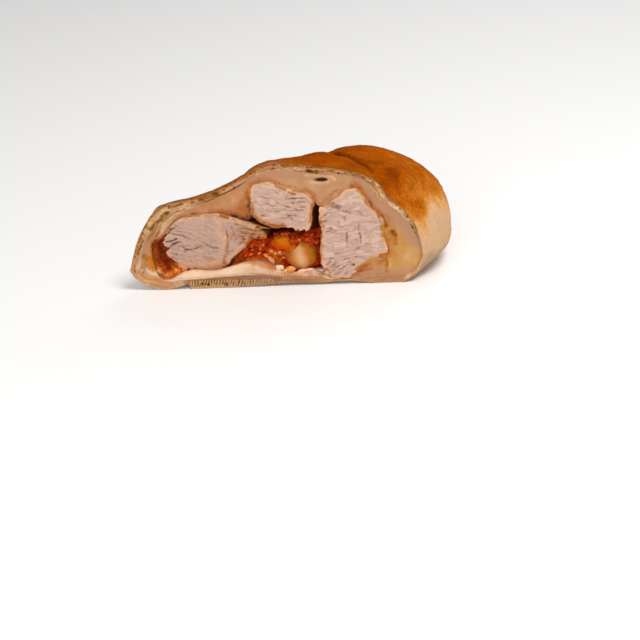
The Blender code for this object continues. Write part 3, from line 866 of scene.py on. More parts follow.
# %% Layers of the cut bread
u, z = points.T
p = flat(points)
left, right = 1 - ease(-52, -40, u), ease(42, 50, u)
over = ease(24, 36, z) * (1 - right)
below = ease(0.6, -0.2, z - law(FLOOR_LINE, u)) * ease(-54, -51, u) * ease(58, 55, u)
deep = from_crust / (from_crust + from_hollow)
folded = np.stack([along, 0 * along, from_crust + 0.5 * noise(p, 4.0, 60)], 1)
streaks = (noise(folded, (11, 1, 0.8), 57) + 0.6 * noise(folded, (5, 1, 0.4), 58)) * (1 - below)
ribs = ease(-40.2, -38.8, u) * ease(8, 2, u) * ease(4.1, 3.4, z + 0.3 * noise(p, 2, 63))
stroke = np.sin(2 * np.pi * (u - 0.35 * z + 0.5 * noise(p, 2.2, 62)) / 1.25)
gaps = ribs * ease(0.0, 0.8, stroke) * ease(0.3, 1.1, z) * ease(-0.7, 0.5, noise(p, (1.6, 1, 3), 67))
seam = np.exp(-(((z - 3.9) / 0.3) ** 2)) * ease(-40.2, -39, u) * ease(10, 2, u)
seam = seam * (0.6 + 0.5 * noise(p, 5, 68))
fringe = by_hand["pale"] * ease(-0.9, 0.1, rough(p, 1.6, 2, 70))
print("streaks from", round(float(streaks.min()), 2), "gaps share", round(float(gaps.mean()), 2))

# %% Masks of the cut bread
bottom = 1 - ease(5.5, 9, z)
brown = ease(1.3, 0.1, from_crust + 0.5 * noise(p, 2.0, 61)) * (0.25 + 0.75 * ease(30, 44, z))
brown = brown * (1 - bottom)
thick = ease(3.0, 1.0, from_crust + 0.4 * noise(p, 3.0, 69)) * ease(40, 46, z) * ease(10, 0, u)
brown = (brown + 0.85 * thick) * (1 - 0.8 * right * ease(40, 30, z))
moist = left * ease(0.4, 0.58, deep) + over * ease(1.8, 0.4, from_hollow) + right * ease(0.3, 0.6, deep)
pocket = left * ease(3, 8, z) * ease(26, 22, z)
soaked = 1.2 * ease(1.6 + 2.4 * ease(18, 12, z), 0.2, from_hollow + 0.7 * noise(p, 2.5, 69)) * pocket
soaked = soaked * ease(6, 11, z)
soaked = np.maximum(soaked, 0.3 * ease(36, 46, z) * ease(0.2, 1.0, from_hollow))
stain = 0.6 * ease(1.2, 0.0, from_hollow + 0.4 * noise(p, 2.0, 55)) * pocket * ease(10, 15, z)
cream = 0.9 * below * ease(0.9, 0.3, from_hollow) * ease(-6, -16, u)
damp = below * ease(-44, -40, u) * (0.35 + 0.65 * ease(20, 12, u)) * ease(0.2, 1.0, from_hollow)
damp = damp * (1 - 0.7 * ribs)
damp = damp + 0.75 * below * ease(-26, -14, u) * ease(12, 4, u) * ease(0.1, 0.8, from_hollow)
pale = np.maximum(0.85 * fringe, 0.62 * ease(0.0, 1.0, streaks)) * (1 - 0.9 * brown) * (1 - below)
pale = np.maximum(pale, 0.35 * ribs * ease(0.1, -0.9, stroke))
pale = np.maximum(pale, 0.32 * left * ease(0.3, 1.2, from_crust) * ease(24, 31, z))
layered = 0.55 * ease(0.0, 1.0, -streaks) * (1 - 0.7 * pocket)
bubbly = bubbles * (1 - moist.clip(0, 1))
pit = np.maximum.reduce([by_hand["pit"], layered, bubbly, 0.6 * gaps, 0.4 * seam])
soaked, cream = np.maximum(by_hand["soak"], soaked), np.maximum(by_hand["cream"], cream)
front_masks = dict(zip(keys, (brown, pit, moist, damp, soaked, stain, cream, pale)))
print("moist share", round(float(moist.mean()), 2), "brown share", round(float(brown.mean()), 2))

# %% Relief of the cut bread
room = np.minimum(from_crust, 1.6) / 1.6
face = 0.1 + 0.3 * (rough(p, 1.3, 3, 65) + 0.6) + 0.3 * (noise(p, 6, 66) + 1) * 0.5
face = face + room * 0.8 * pit - 0.25 * fringe + 0.2 * moist - 0.12 * streaks + 0.5 * gaps
face = face + 0.25 * ease(0.9, 0, from_hollow) ** 2 + 1.3 * pocket * ease(3.0, 0, from_hollow)
front = np.stack([u, np.maximum(face * ease(-0.2, 0.5, from_crust), 0.02), z], 1)
print("relief from", face.min().round(2), "to", face.max().round(2), "mm")

# %% [markdown]
# ## The hollow behind it
# The same piece carries on into the hollow that holds the filling. Its floor near the cut is
# coated with cheese that has run down, so it bulges up and is creamy white, and farther in
# the walls are stained with sauce and darkened with painted shade, more the deeper they go.

# %% Hollow walls
HOLLOW_DEPTHS = [0.7, 1.3, 2, 2.8, 3.6, 4.5, 5.3, 6.5, 8, 10, 13, 17, 22, 29, 38, 48, 58, 64, CAVITY_DEPTH]


def kept_clear(row, ring, d):
    """Moves a row of points away from the crust, which is rounder than the cut at its lower corners."""
    u, z = ring.T
    right = ease(46, 58, u) * ease(16, 9, z) * ease(4, 11, d) * ease(40, 28, d)
    left = ease(-44, -52, u) * ease(12, 7, z) * ease(4, 11, d)
    return row + right[:, None] * (-1.8, 0, 1.6) + left[:, None] * (0.8, 0, 0.7)


def hollow_rows(ring, first_depth):
    """The hollow's walls as rows of points, one for each depth."""
    rows = []
    for d in HOLLOW_DEPTHS:
        size = np.sqrt(max(1 - (max(d - 50, 0) / (CAVITY_DEPTH - 49)) ** 2, 0.05))
        q = CAVITY_HEART + (ring - CAVITY_HEART) * size
        row = warp(q[:, 0], q[:, 1], np.maximum(d, first_depth + 0.3), NARROWING)
        line = law(FLOOR_CREST, ring[:, 0])
        floor = ease(9, 7, ring[:, 1]) * ease(-54, -48, ring[:, 0]) * ease(58, 50, ring[:, 0])
        lumps = line - ring[:, 1] + 0.3 * noise(row, 5, 71) + 0.25 * noise(row, 1.8, 72)
        row[:, 2] += floor * lumps * ease(0.0, 4.2, d) * ease(13, 6, d)
        rows.append(kept_clear(row, ring, d))
    return np.array(rows)


n_out, n_in = len(outer), len(inner)
rows = hollow_rows(inner, front[n_out : n_out + n_in, 1])
# A hem runs back from the outer edge, just inside the crust, so that no gap opens there.
lip = front[:n_out].copy()
lip[:, 1] += 0.9
lip[:, [0, 2]] += (CUT_HEART - lip[:, [0, 2]]) * 0.012
n_face = len(front)
points_all = np.vstack([front, rows.reshape(-1, 3), lip])
edge, under = np.arange(n_out), n_face + len(rows) * n_in
hem = np.stack([edge, under + edge, under + np.roll(edge, -1), np.roll(edge, -1)], 1).tolist()
joint = band(np.arange(n_out, n_out + n_in), np.arange(n_face, n_face + n_in))
faces = triangles.tolist() + joint + tube(len(rows), n_in, n_face) + hem
print("hollow rows", rows.shape)

# %% Bread piece
wall = rows.reshape(-1, 3)
ring_u, ring_z = np.tile(inner, (len(rows), 1)).T
crest = law(FLOOR_CREST, ring_u)
floor = ease(15, 10, wall[:, 2]) * ease(16, 9, wall[:, 1]) * ease(-51, -46, ring_u) * ease(30, 22, ring_u)
floor = floor * ease(0.5, -0.5, ring_z - law(FLOOR_LINE, ring_u) - 0.6)
front_slope = floor * ease(5.5, 3.5, wall[:, 1])
share = ((wall[:, 2] - ring_z) / np.maximum(crest - ring_z, 0.5)).clip(0, 1)
greyish = front_slope * ease(-24, -12, ring_u) * ease(0.95, 0.45, share + 0.3 * noise(wall, 3, 74))
gold = floor * ease(9, 7, wall[:, 1]) * ease(-27, -16, ring_u) * ease(4, -2, ring_u)
gold = 0.85 * gold * ease(0.6, 1.0, share + 0.2 * noise(wall, 2.6, 76))
patchy = floor * ease(-4, 2, ring_u) * ease(-0.2, 0.5, noise(wall, 2.2, 75))
by_left = ease(-48, -52, ring_u) * ease(3, 6, ring_z) * ease(27, 23, ring_z)
# Painted shade: the hollow's walls get darker the farther back they lie.
dark = np.maximum(ease(1.2, 4.5, wall[:, 1]), 0.5 * by_left) * (1 - floor)
more = {"stain": 0.95 * dark, "moist": 1 - floor, "damp": 0.5 * greyish}
more["cream"] = floor - 0.45 * greyish - 0.3 * patchy
more["soak"] = np.maximum.reduce([gold, 0.45 * patchy, 0.14 * floor, by_left])
masks = {}
for key in keys:
    masks[key] = np.r_[front_masks[key], more.get(key, 0 * floor), front_masks[key][:n_out]].clip(0, 1.3)
build("cut_bread_and_hollow", points_all, faces, masks, CRUMB, "dough")

# %% [markdown]
# ## Fillings
# Each filling is a face at the cut with sides that run back into the hollow. The face lies a
# little behind the cut, its rim is rounded and frayed, and its relief is what tells meat
# from cheese: torn fibres in one, a smooth bulge in the other.

# %% Where the fillings lie
# How far back each lies at its top and its bottom, and how far back it ends.
FACE = {
    "chicken_left": (0.6, 6.0, 52.0),
    "chicken_middle": (0.5, 1.2, 46.0),
    "chicken_right": (0.4, 1.4, 62.0),
    "melted_cheese_top": (0.6, 0.9, 50.0),
    "melted_cheese_right": (0.6, 0.9, 44.0),
    "tomato_sauce": (6.4, 8.4, 56.0),
    "sauce_left": (2.0, 2.0, 26.0),
}


def torn(points, amount):
    """Points shifted by a smooth field of noise, which frays an outline but never folds it over."""
    p = flat(points)
    layers = ((0.6, 2.4, 81), (0.28, 1.0, 82), (0.1, 0.5, 83))
    shift = [sum(share * noise(p, size, seed + k) for share, size, seed in layers) for k in (0, 4)]
    return points + amount * np.stack(shift, 1)


# The rows of a filling's side as shares of its length, and how much painted shade each of them gets.
SIDE_STEPS = (0.01, 0.03, 0.08, 0.18, 0.3, 0.45, 0.65, 0.84, 1.0)
MEAT_SHADE = (0.85, 0.96, 1, 1, 1, 1, 1, 1, 1)
print(len(FACE), "fillings")


# %% One filling
def filling(
    key, outline, relief, paint, fray=0.5, rim=0.6, spacing=0.3, blunt=True, shade=MEAT_SHADE, tuck=0.0
):
    """A face with sides. relief(points, from_rim) gives how far the face lies back, and its masks."""
    top, bottom, end = FACE[key]
    smooth = rounded(outline, int(9 * len(outline)))
    heart = smooth.mean(0)
    ring = torn(smooth, fray)
    points, triangles = fill([ring], spacing)
    low, high = smooth[:, 1].min(), smooth[:, 1].max()
    from_rim = distance(points, dense(np.vstack([ring, ring[:1]])))
    back, masks = relief(points, from_rim)
    lay = top + (bottom - top) * np.clip((high - points[:, 1]) / (high - low), 0, 1) ** 1.5
    # A filling with no rounded rim still gets a width here, so that nothing is divided by zero.
    depth = np.maximum(lay + back + 1.1 * rim * ease(max(rim, 0.1), 0, from_rim) ** 1.6, 0.15)
    face = warp(points[:, 0], points[:, 1], depth, NARROWING)
    n, rows = len(ring), []
    under = tuck * ease(-24, -16, ring[:, 0]) * ease(27, 21, ring[:, 1])
    for t in SIDE_STEPS:
        close = 1 - 0.5 * ease(0.62, 1.0, t) if blunt else 1.0
        q = heart + (ring - heart) * (close - under * ease(0, 0.06, t))[:, None]
        behind = depth[:n] + (end - depth[:n]) * t
        rows.append(kept_clear(warp(q[:, 0], q[:, 1], behind, NARROWING), ring, behind))
    start, end_row = len(face), len(face) + (len(rows) - 1) * n
    faces = triangles.tolist() + band(np.arange(n), np.arange(start, start + n))
    faces += tube(len(rows), n, start) + fan(end_row, n, end_row + n)
    everything = np.vstack([face, *rows, rows[-1].mean(0)])
    # The sides run back into the hollow: painted shade on them, row by row, over the brown of a stain.
    sides = {"dark": np.repeat(shade, n), "stain": np.ones(len(rows) * n)}
    for name, values in masks.items():
        tail = sides.get(name, np.tile(values[:n], len(rows)))
        masks[name] = np.r_[values, tail, tail[-1]].clip(0, 1)
    return build(key + "_piece", everything, faces, masks, paint, key)


print("sides of", len(SIDE_STEPS), "rows")


# %% [markdown]
# ## Chicken
# Cut across the grain, cooked breast shows short wavy ridges with darker gaps between them,
# and a few deep cracks. A noise stretched along the grain, in wavy coordinates, gives ridges
# that wander and fork as torn fibres do. Cracks and stains are then drawn on.


# %% Chicken fibres
def fibres(points, turn, seed):
    """High on the crests of wavy ridges of fibre, and low in the fine gaps between them."""
    u, z = points.T
    p = flat(points)
    a, b = turned(u, z, -turn)
    b = b + 1.0 * noise(p, 5.5, seed) + 0.45 * noise(p, 2.2, seed + 1)
    q = np.stack([a, 0 * a, b], 1)
    wave = 0.7 * noise(q, (3.4, 1, 0.95), seed + 2) + 0.45 * noise(q, (1.7, 1, 0.45), seed + 3)
    lines = ease(0.18, 0.0, np.abs(wave)) * ease(-0.5, 0.3, noise(q, (2.4, 1, 1.6), seed + 8))
    fine = ease(0.2, 0.0, np.abs(noise(q, (2.6, 1, 0.7), seed + 10)))
    fine = fine * ease(-0.3, 0.4, noise(q, (2, 1, 2), seed + 11))
    return 0.64 + 0.32 * wave - 0.4 * lines - 0.25 * fine


def meat_relief(turn, seed, table, calm=1.0, wedge=None, tone=0.6):
    """The relief of a piece of meat. The fibres run another way in its wedge."""

    def relief(points, from_rim):
        p = flat(points)
        made = marks(points, table, ("gap", "stain", "dark", "peach"))
        fibre = fibres(points, turn, seed)
        if wedge:
            slanted = ease(0.25, 0.5, spot(points, *wedge[:4]))
            fibre = fibre + slanted * (fibres(points, wedge[4], seed + 9) - fibre)
        fibre = tone + calm * (fibre - 0.6) * (0.85 + 0.4 * noise(p, 8, seed + 4))
        # Gap strokes darken the fibre colour: painted shade in gaps and folds.
        fibre = (fibre - 0.5 * made["gap"]).clip(0, 1)
        edge = from_rim + 0.9 * noise(p, 3, seed + 5)
        made["stain"] = made["stain"] + 0.85 * ease(1.1, 0.1, edge) * ease(-0.4, 0.3, noise(p, 4, seed + 6))
        made["peach"] = np.maximum(made["peach"], 0.9 * ease(2.6, 0.4, edge))
        back = 0.7 * (0.5 - fibre) + 1.1 * made["dark"] + 0.5 * rough(p, 7, 2, seed + 7) - 0.2
        return back, {"fibre": fibre, **{key: made[key] for key in ("stain", "dark", "peach")}}

    return relief


print("fibre ridges ready")

# %% Left piece of chicken
CHICKEN_LEFT = listed("""
-51.6 25.4, -50.2 27.2, -48.2 29.8, -46.4 31.9, -45 33, -42 34.1, -39.3 35.1, -36.2 35.4, -32.7 35.6,
-29.2 35.9, -26.1 35.9, -23.1 35, -20.2 33.9, -17.2 32.8, -14.3 31.5, -11.4 30.2, -9.3 29.4, -7.2 28.5,
-5.4 27.3, -7.9 27.1, -9.3 26.8, -7.8 26, -6.6 24.5, -6.9 22.7, -9.2 22.2, -11.3 22.7, -13.9 21.5,
-16.5 18.6, -20 16.1, -23 13.8, -25.7 11.1, -28.7 7.6, -32.9 6.2, -37.1 5.8, -40.4 6.5, -44.2 6.1,
-47.4 5.6, -48.2 8.9, -49 11.4, -50.8 12.4, -52.4 14.7, -53.1 17.1, -51.3 18.9, -52.5 20.4, -54.3 22.5,
-52.1 22.9""")
# The dark strokes are painted shade in cracks and torn gaps, and the gap strokes are painted shade in
# folds.
table = strokes("""
dark 0.85 0.7: -52.6 24.6, -50.6 26.2, -49 27, -47.9 28.4, -46.2 29.4
dark 0.75 0.6: -51.4 22.4, -49.7 22.7, -48.3 23.2, -46.4 23.9
dark 0.75 0.6: -45.4 20.2, -44.2 19.9, -43.8 18.6, -43.4 17.8
dark 0.75 0.7: -51.3 18.9, -50 19.9, -48.5 21.1, -47.3 21.8, -44.8 22.3
dark 0.65 0.45: -43.3 18, -40.6 18.2, -38.2 18.9, -36.8 19.2
gap 0.8 0.8: -47.6 26.5, -45.1 25.9, -42.6 25, -40.2 23.9
gap 0.7 0.8: -35 21.4, -33.1 20, -30.7 18.6, -28.7 18; -49.6 16.4, -47.4 15.4, -45.6 13.6
gap 1 0.6: -42.5 12.6, -41.7 10.6; -40.1 11.4, -40 9.4
stain 0.5 1.8: -31.8 35.4, -27.5 35.1, -23.2 34.2, -19 32.8, -14.8 31.2, -10.6 29.6; -9.8 26.1, -7.6 23.5
stain 1 0.7: -23.5 27.1, -23.5 24.6, -23.8 22
stain 1 1.2: -23.8 22, -25 18.4, -26 15.2, -27.2 13.1
stain 1 1.9: -27.4 12, -27.8 9.8, -29.1 7.6
stain 0.9 0.7: -20.7 29.5, -20.4 27.5, -20.3 24.4, -20 22.4
stain 0.7 0.5: -21.3 25, -21.9 23
peach 1 1: -24.6 25, -24.9 21
peach 0.5 4: -26.5 31, -26 18
peach 0.9 5: -12 26
stain 0.4 2: -35.9 14, -33.6 12.3
dark 0.5 0.45: -44.4 6.2, -41.5 8.1, -40 7.1, -35.7 6.7
stain 0.9 1: -18.7 20.8, -16.5 21, -14.6 21.7
peach 0.8 0.8: -19.4 17.7, -17 18.6, -14.9 20.1
dark 0.9 0.6: -10.3 28.6, -7.9 27.3, -5.6 27.2
dark 0.8 0.7: -11.3 22.8, -9.8 23.6
stain 0.75 7: -16 25, -10 25
dark 0.5 0.5: -18 25.6, -13 25.2, -9 24.7
dark 0.45 0.45: -17 22.4, -13.4 23.3, -11.6 23.4; -18.4 28.2, -13.6 27.4, -10.6 26.4
stain 0.7 1.3: -18.6 30.6, -14 28.6, -9 26.8
gap 1 0.7: -19 27, -15 26, -9.6 25.2; -18.6 24.2, -14.6 24.2, -11 23.8
gap 0.9 0.6: -17 28.8, -12.8 27.4; -19 20.2, -16.2 22.4
peach 0.8 5: -45 9, -36 8.6, -30 10
stain 0.5 3.4: -44 7.4, -36 7.4, -30 8.6
gap 0.7 0.7: -48.6 29.6, -46 28.6, -43.4 27.6
gap 0.7 0.6: -46.6 31.4, -44.4 30.2
gap 0.6 0.8: -50.4 14.4, -48.4 13.4""")
relief = meat_relief(-0.35, 101, table, calm=0.7, tone=0.45)
SAUCY_SHADE = (0.6, 0.75, 1, 1, 1, 1, 1, 1, 1)
filling("chicken_left", CHICKEN_LEFT, relief, MEAT, fray=0.8, shade=SAUCY_SHADE, tuck=0.2)

# %% Middle piece of chicken
CHICKEN_MIDDLE = listed("""
-11.5 44.9, -11.1 47.6, -9.2 49.5, -5.9 49.3, -2.9 49.7, -0.5 48.2, 2.7 46.7, 6.1 45.8, 9.6 45.4,
12.6 44.9, 14.3 43.3, 15.6 40.2, 15.2 36.9, 14.3 33.1, 13.9 29.8, 12.9 26.6, 11.4 25.6, 10.6 27, 9.1 25.6,
8.2 26.8, 7.2 25.8, 6.1 27.4, 3.9 27.8, -0.3 27.7, -4 28.2, -7.4 29.9, -10.2 32.1, -12 35.4, -12.3 40""")
table = strokes("""
stain 1 0.6: -0.9 50.1, -0.5 48.2, 0.5 47, 2.2 46.3, 3.9 46; 5 44.8, 6.5 44, 8 43.5
peach 1 0.8: -0.3 48.9, 1.4 47.5, 4 46.7, 5.7 46.4
stain 0.8 0.45: 13.8 42.6, 15.1 41.2; 12.5 41.7, 13.7 40.3, 14.5 38.6
stain 0.9 1.1: -6.7 34.1, -6.2 34.1
gap 1.2 0.5: -3.3 39.4, -2.1 37.7
gap 1.2 0.55: -1.1 40.8, 0.2 39.8
gap 1 0.55: -0.5 45, 0.8 43.7
gap 1 0.5: -6.9 37.9, -6.1 37.1
gap 1.1 0.5: 9.2 37.3, 11.4 37.3
gap 1.1 0.6: 4.2 33, 5.9 32.2
gap 0.9 0.65: -9.4 40.1, -6.9 38.6, -4.2 39.7, -2.5 38.4, 0.1 38.1, 2.7 38.5, 5.3 37.7
gap 0.9 0.65: -3.1 36.1, 0 35.8, 2.6 36.1, 5.2 35.8, 8.3 35.7, 10.9 36.1
gap 0.9 0.55: 3.8 34.9, 4.7 33.7, 7.7 33.6
gap 0.9 0.6: 3.7 41.3, 6.4 41.7, 9 41.6, 11.6 41.7; -8.4 42.4, -6.2 42.8, -4.1 41.8
gap 0.9 0.6: 6.3 39.3, 8.9 39.9, 11.5 39.6
stain 0.35 1.6: 1.3 32.8, 2.2 32.6
stain 0.6 1.4: -4.9 30.2, -1 29.4, 3 28.9
stain 1.6 2.8: -12.2 39, -11.6 35, -9.6 32, -6.6 29.8, -3.6 28.6, 2 28
peach 0.9 2.6: -11.4 42, -10.6 35, -8.2 32.4, -4.2 30.2
peach 1 1.4: 11.4 43, 13.6 41, 14.2 37.5""")
filling("chicken_middle", CHICKEN_MIDDLE, meat_relief(-0.05, 111, table), MEAT, fray=0.8, rim=0.5)

# %% Right piece of chicken
CHICKEN_RIGHT = listed("""
17.7 37, 19.9 37.4, 21.5 38.9, 23.3 40.6, 26 41.5, 28 43.6, 30.6 45, 33.9 45.9, 36.1 44.7, 37.8 42.1,
39.7 38.7, 41.2 36, 43.8 34.1, 45.7 31.4, 46.6 27.8, 46.9 23.5, 47.7 19.1, 48 15.4, 46.8 13.8, 44.6 13.4,
45.6 11.5, 44.7 9.8, 41.8 10.4, 39.5 8.9, 36.5 7.4, 34.5 5.4, 31.9 2.6, 26.7 2.3, 22 2.6, 21.3 5.9,
19.1 7.7, 17.9 11.3, 17.6 15.7, 17.7 20.1, 18.5 24.4, 18.4 28.3, 17.8 32.6""")
# The wide gap stroke at the top left is painted shade under a fold, and the dark strokes are painted shade
# in cracks.
table = strokes("""
gap 1.2 2.3: 21.3 37.7, 23 38.8, 24.8 37.6, 26.9 36.1
stain 0.4 2: 21.3 37.7, 23 38.8, 24.8 37.6
gap 0.7 1.2: 27.8 35.6, 30.4 34.8, 31.7 34
dark 0.4 0.8: 29 31.8, 29 30.2
dark 0.5 0.5: 30.6 25, 30 23.1, 30 20.6, 30.1 18.9
dark 0.35 0.5: 35.4 29.1, 35.2 25.8; 24 4.2, 26.6 5.8
dark 0.6 0.5: 35.7 24.8, 36 22.4, 36.3 19.7
stain 0.6 0.5: 25.1 25.7, 25.4 23.2
gap 0.9 0.5: 21.3 25.3, 24.4 24.7
gap 0.9 0.9: 24.9 14.7, 28.5 14.6
gap 0.8 0.7: 22.2 12.6, 23.5 12.5
dark 0.75 0.9: 32.1 8.8, 32.6 8.8
gap 1 0.6: 30.6 11.3, 31.5 10; 33.9 16.1, 35.3 17.3; 27.4 11.6, 30.6 12.2; 33.4 12.8, 37.4 12.2
gap 1.2 0.45: 22.4 7.6, 24.3 9.5; 23.8 7.3, 26.1 9; 26 6.7, 28.3 8.4; 22.3 5.4, 24.6 6.8
dark 0.4 0.5: 23 8.6, 24.8 10.2; 25 7.4, 27.2 9.2; 27.2 6.7, 29.2 8.6
dark 0.35 0.45: 28.4 4.2, 30.2 5.8
gap 1.2 0.6: 20.6 9.2, 22.4 11
stain 1.5 0.9: 18.6 30, 21.1 30.6
stain 1.5 1: 18.9 30.7, 20.1 28; 17.9 27.8, 18.7 25.4
stain 1.2 0.9: 18.6 32.4, 21.4 33.4
stain 0.6 1.6: 18.4 33, 18.8 22, 18.4 14; 42.5 11.6, 44.5 12.5
stain 0.8 0.8: 18.5 19.6, 20.2 18.6
stain 0.8 0.6: 19.1 14.2, 19.9 12.2
dark 0.7 0.7: 17.7 10.8, 18.9 7.7, 21.3 6.7, 21.2 3.7
peach 0.7 2.6: 19.2 33, 19 20, 19.8 12
stain 0.7 0.7: 44 32.2, 45.3 29.3, 46.1 25.9
dark 0.8 0.6: 44.5 11.8, 45.3 9.8
dark 0.35 0.6: 39.7 9.9, 39.7 9.2""")
relief = meat_relief(0.05, 121, table, wedge=(25.5, 6.5, 5.0, 4.5, 0.75))
filling("chicken_right", CHICKEN_RIGHT, relief, MEAT, fray=0.8)

# %% [markdown]
# ## Melted cheese
# The cheese under the crown has melted and set as a smooth, glossy fill that bulges between
# the chicken pieces. At the right it has mixed with sauce and turned golden, with a few
# bubbles and orange spots. Next to the bread it has soaked in and looks like wet dough.


# %% Cheese under the crown
AS_MELTED = {"fray": 0.1, "rim": 0.0, "blunt": False}
MELTED_CHEESE_TOP = listed("""
-46.4 32.6, -43.5 35.4, -40 37.4, -33.3 40.2, -26.7 43, -20 46.1, -15.3 48.8, -10.9 52, -5.8 54.4, 2 55.6,
10.6 54, 19.3 52.4, 27.9 52.2, 35 50.6, 39 47.6, 36 45.5, 31 45.2, 28.3 42.9, 26.6 40, 22 37.2, 18 37.6,
15.9 40.2, 12.4 43.8, 6.6 44.8, -0.1 47.6, -6.2 49.2, -10.3 47.3, -11.4 44.6, -11.1 39, -11.6 34.6,
-14.4 31.8, -20.4 34, -27 35.4, -33 35.3, -39 34.8, -43.5 33""")
MEAT_LINES = [rounded(line, 300) for line in (CHICKEN_LEFT, CHICKEN_MIDDLE, CHICKEN_RIGHT)]


def by_meat(points, *which):
    """1 beside the chosen pieces of chicken, fading out over a millimetre or two."""
    p = flat(points)
    near = distance(points, np.vstack([dense(MEAT_LINES[k]) for k in which])) + 0.9 * noise(p, 2.0, 77)
    return ease(3.2, 0.2, near) * ease(-0.8, 0.3, noise(p, 4.0, 78))


# Among these, the wide pale stroke on the bulge is a painted highlight, and the dark strokes are painted
# shade along the chicken's edges.
TOP_MARKS = strokes("""
stain 1 2.2: -13 45.3, -12.7 41.5, -12.8 36.8, -12.7 32.5
stain 0.5 3.6: -14.5 41, -14.5 33
dark 0.6 0.6: -46 32.6, -42 34.9, -38 35.8, -32.7 36.3, -26 36.4, -20 34.7
dark 1 1.5: -20 34.5, -16 33, -12 31.6
stain 0.6 2.2: -30 36.6, -24 36.2, -18 34.6
dark 0.85 1.3: -12.3 42.5, -12.5 37, -13.5 33, -17 32.5
dark 0.9 2.2: -13 32.6, -12.4 34
stain 1.2 2.6: -22 35, -12.4 33
stain 0.8 1.6: 22.6 42.2, 24.3 43.6, 26.1 44.9
stain 1 0.55: 0.6 49.3, 1.9 48.4, 4 47.6, 6.6 47.1, 8.1 46.8
stain 0.8 0.8: 13.5 43.8, 15.9 39.8
stain 0.35 1.4: -9.5 51, -6 51.6, -3 51
pale 0.4 4: -22 40.2, -18 41
pale 0.7 0.9: 12.3 52.2, 15 51.9, 20 51.9, 23.4 51.4, 25.4 49.9
pale 0.5 1.2: 14 48.9, 18.3 48.4, 22.3 48.9""")


def top_cheese_relief(points, from_rim):
    u, z = points.T
    made = marks(points, TOP_MARKS, ("stain", "dark", "pale"))
    slit = ease(0.3, 0.6, spot(points, 18.8, 50.0, 3.2, 0.95))
    bulge = spot(points, -18.5, 40.5, 8, 4) + 0.5 * spot(points, 22, 44, 6, 4)
    back = 0.3 * rough(flat(points), 9, 2, 131) - 0.35 * bulge + 1.6 * slit
    # Painted shade in the slit.
    made["dark"] = np.maximum(made["dark"], 0.95 * slit)
    # Painted shade: darker towards the bottom and beside the chicken at the left, added to the stain mask.
    brown = (0.3 * ease(42, 36, z) * ease(-26, -16, u) + 0.36) * ease(-10, -16, u)
    made["stain"] = np.maximum(made["stain"], 0.75 * by_meat(points, 1, 2)) + brown
    under = z - (36.5 + 0.55 * (u + 44)).clip(34, 49)
    soft = 0.85 * ease(0, 3, under + noise(flat(points), 5, 132))
    made["dough"] = np.maximum(soft, ease(31, 34, u) * ease(44, 46, z))
    return back, made


filling("melted_cheese_top", MELTED_CHEESE_TOP, top_cheese_relief, CHEESE_TOP, **AS_MELTED)

# %% Cheese at the right
MELTED_CHEESE_RIGHT = listed("""
34 50.6, 40.2 47.8, 43.4 42.6, 50.6 36, 56.5 30, 60.3 23.2, 63.2 16, 63.2 10.6, 59.4 4.7, 54 3.9, 46 3.8,
37.6 3.2, 32 1.8, 33 6.4, 37.5 9.8, 42.6 14, 45.6 16.5, 45.2 24.5, 43.6 32, 40.5 35, 38.2 38.8, 35.6 43.4,
32.6 45.2, 32.2 48""")
# The pale stroke at 49.4 across is a painted highlight, and the dark strokes are painted shade in gaps and
# round a bubble.
RIGHT_MARKS = strokes("""
stain 1.2 2: 30 45.7, 33.1 46.4, 35.5 45.6, 37.2 43.3, 39.4 40.3, 40.2 38, 41.6 36.1
stain 1.3 2.4: 41.6 36.1, 43.7 34.2, 45.5 32.2, 46.5 29.6, 47.3 27.2
dark 0.6 0.6: 40.1 38.8, 41.3 36.1
dark 0.6 0.8: 45.2 32.7, 46.5 30.6; 46.6 29.6, 47.6 27.2
stain 0.55 3.6: 48 31, 49.5 24, 49.5 15
stain 1 2.4: 50.1 24.8, 51.2 22.4
dark 0.5 1.4: 50.2 24.4, 51 22.8
stain 0.9 2: 51.5 21, 51.6 18.8
stain 1 1.4: 48.4 19.5, 48.4 17.2
dark 0.7 0.9: 47.9 16.6, 47.6 14.6
dark 0.6 0.7: 45.2 11.9, 45.6 10.6
stain 1 1.5: 47.4 12.2, 47.4 8.4
stain 0.7 1.3: 47.6 8, 47.8 5
pale 1 0.9: 49.4 8.9, 49.4 7.5
stain 1 1.1: 34.3 5.2, 36.5 6.3, 39.2 6.4, 41 6.6
dark 0.4 0.7: 35.5 5.6, 38.5 6.3
pale 0.35 5: 57.5 12""")


def right_cheese_relief(points, from_rim):
    u, z = points.T
    made = marks(points, RIGHT_MARKS, ("stain", "dark", "pale"))
    blob = spot(points, 50.6, 23.6, 1.1, 1.6)
    thick = 5.6 * ease(10, 24, z) + 1.4 * noise(flat(points), 5, 142)
    dough = 1 - ease(thick - 2.2, thick + 1.6, distance(points, inner))
    back = 0.45 * rough(flat(points), 6, 3, 141) + 0.9 * blob + 0.5 * made["dark"]
    made["stain"] = np.maximum(made["stain"], 0.9 * by_meat(points, 2)) * ease(1.5, 4, z)
    pinkish = 0.8 * ease(9, 5, z + noise(flat(points), 4, 143)) + 0.9 * spot(points, 41, 7.0, 5, 2.4)
    made["dough"] = np.maximum(dough, pinkish)
    return back, made


filling("melted_cheese_right", MELTED_CHEESE_RIGHT, right_cheese_relief, CHEESE_RIGHT, **AS_MELTED)

# %% [markdown]
# ## Sauce
# The sauce sits deepest, between the chicken and the floor. Its face is a heap of wet pulp,
# so the relief is strong, and the highlights of the studio light break up on it. Round the
# lumps of cheese it climbs forward, as a thick liquid does.

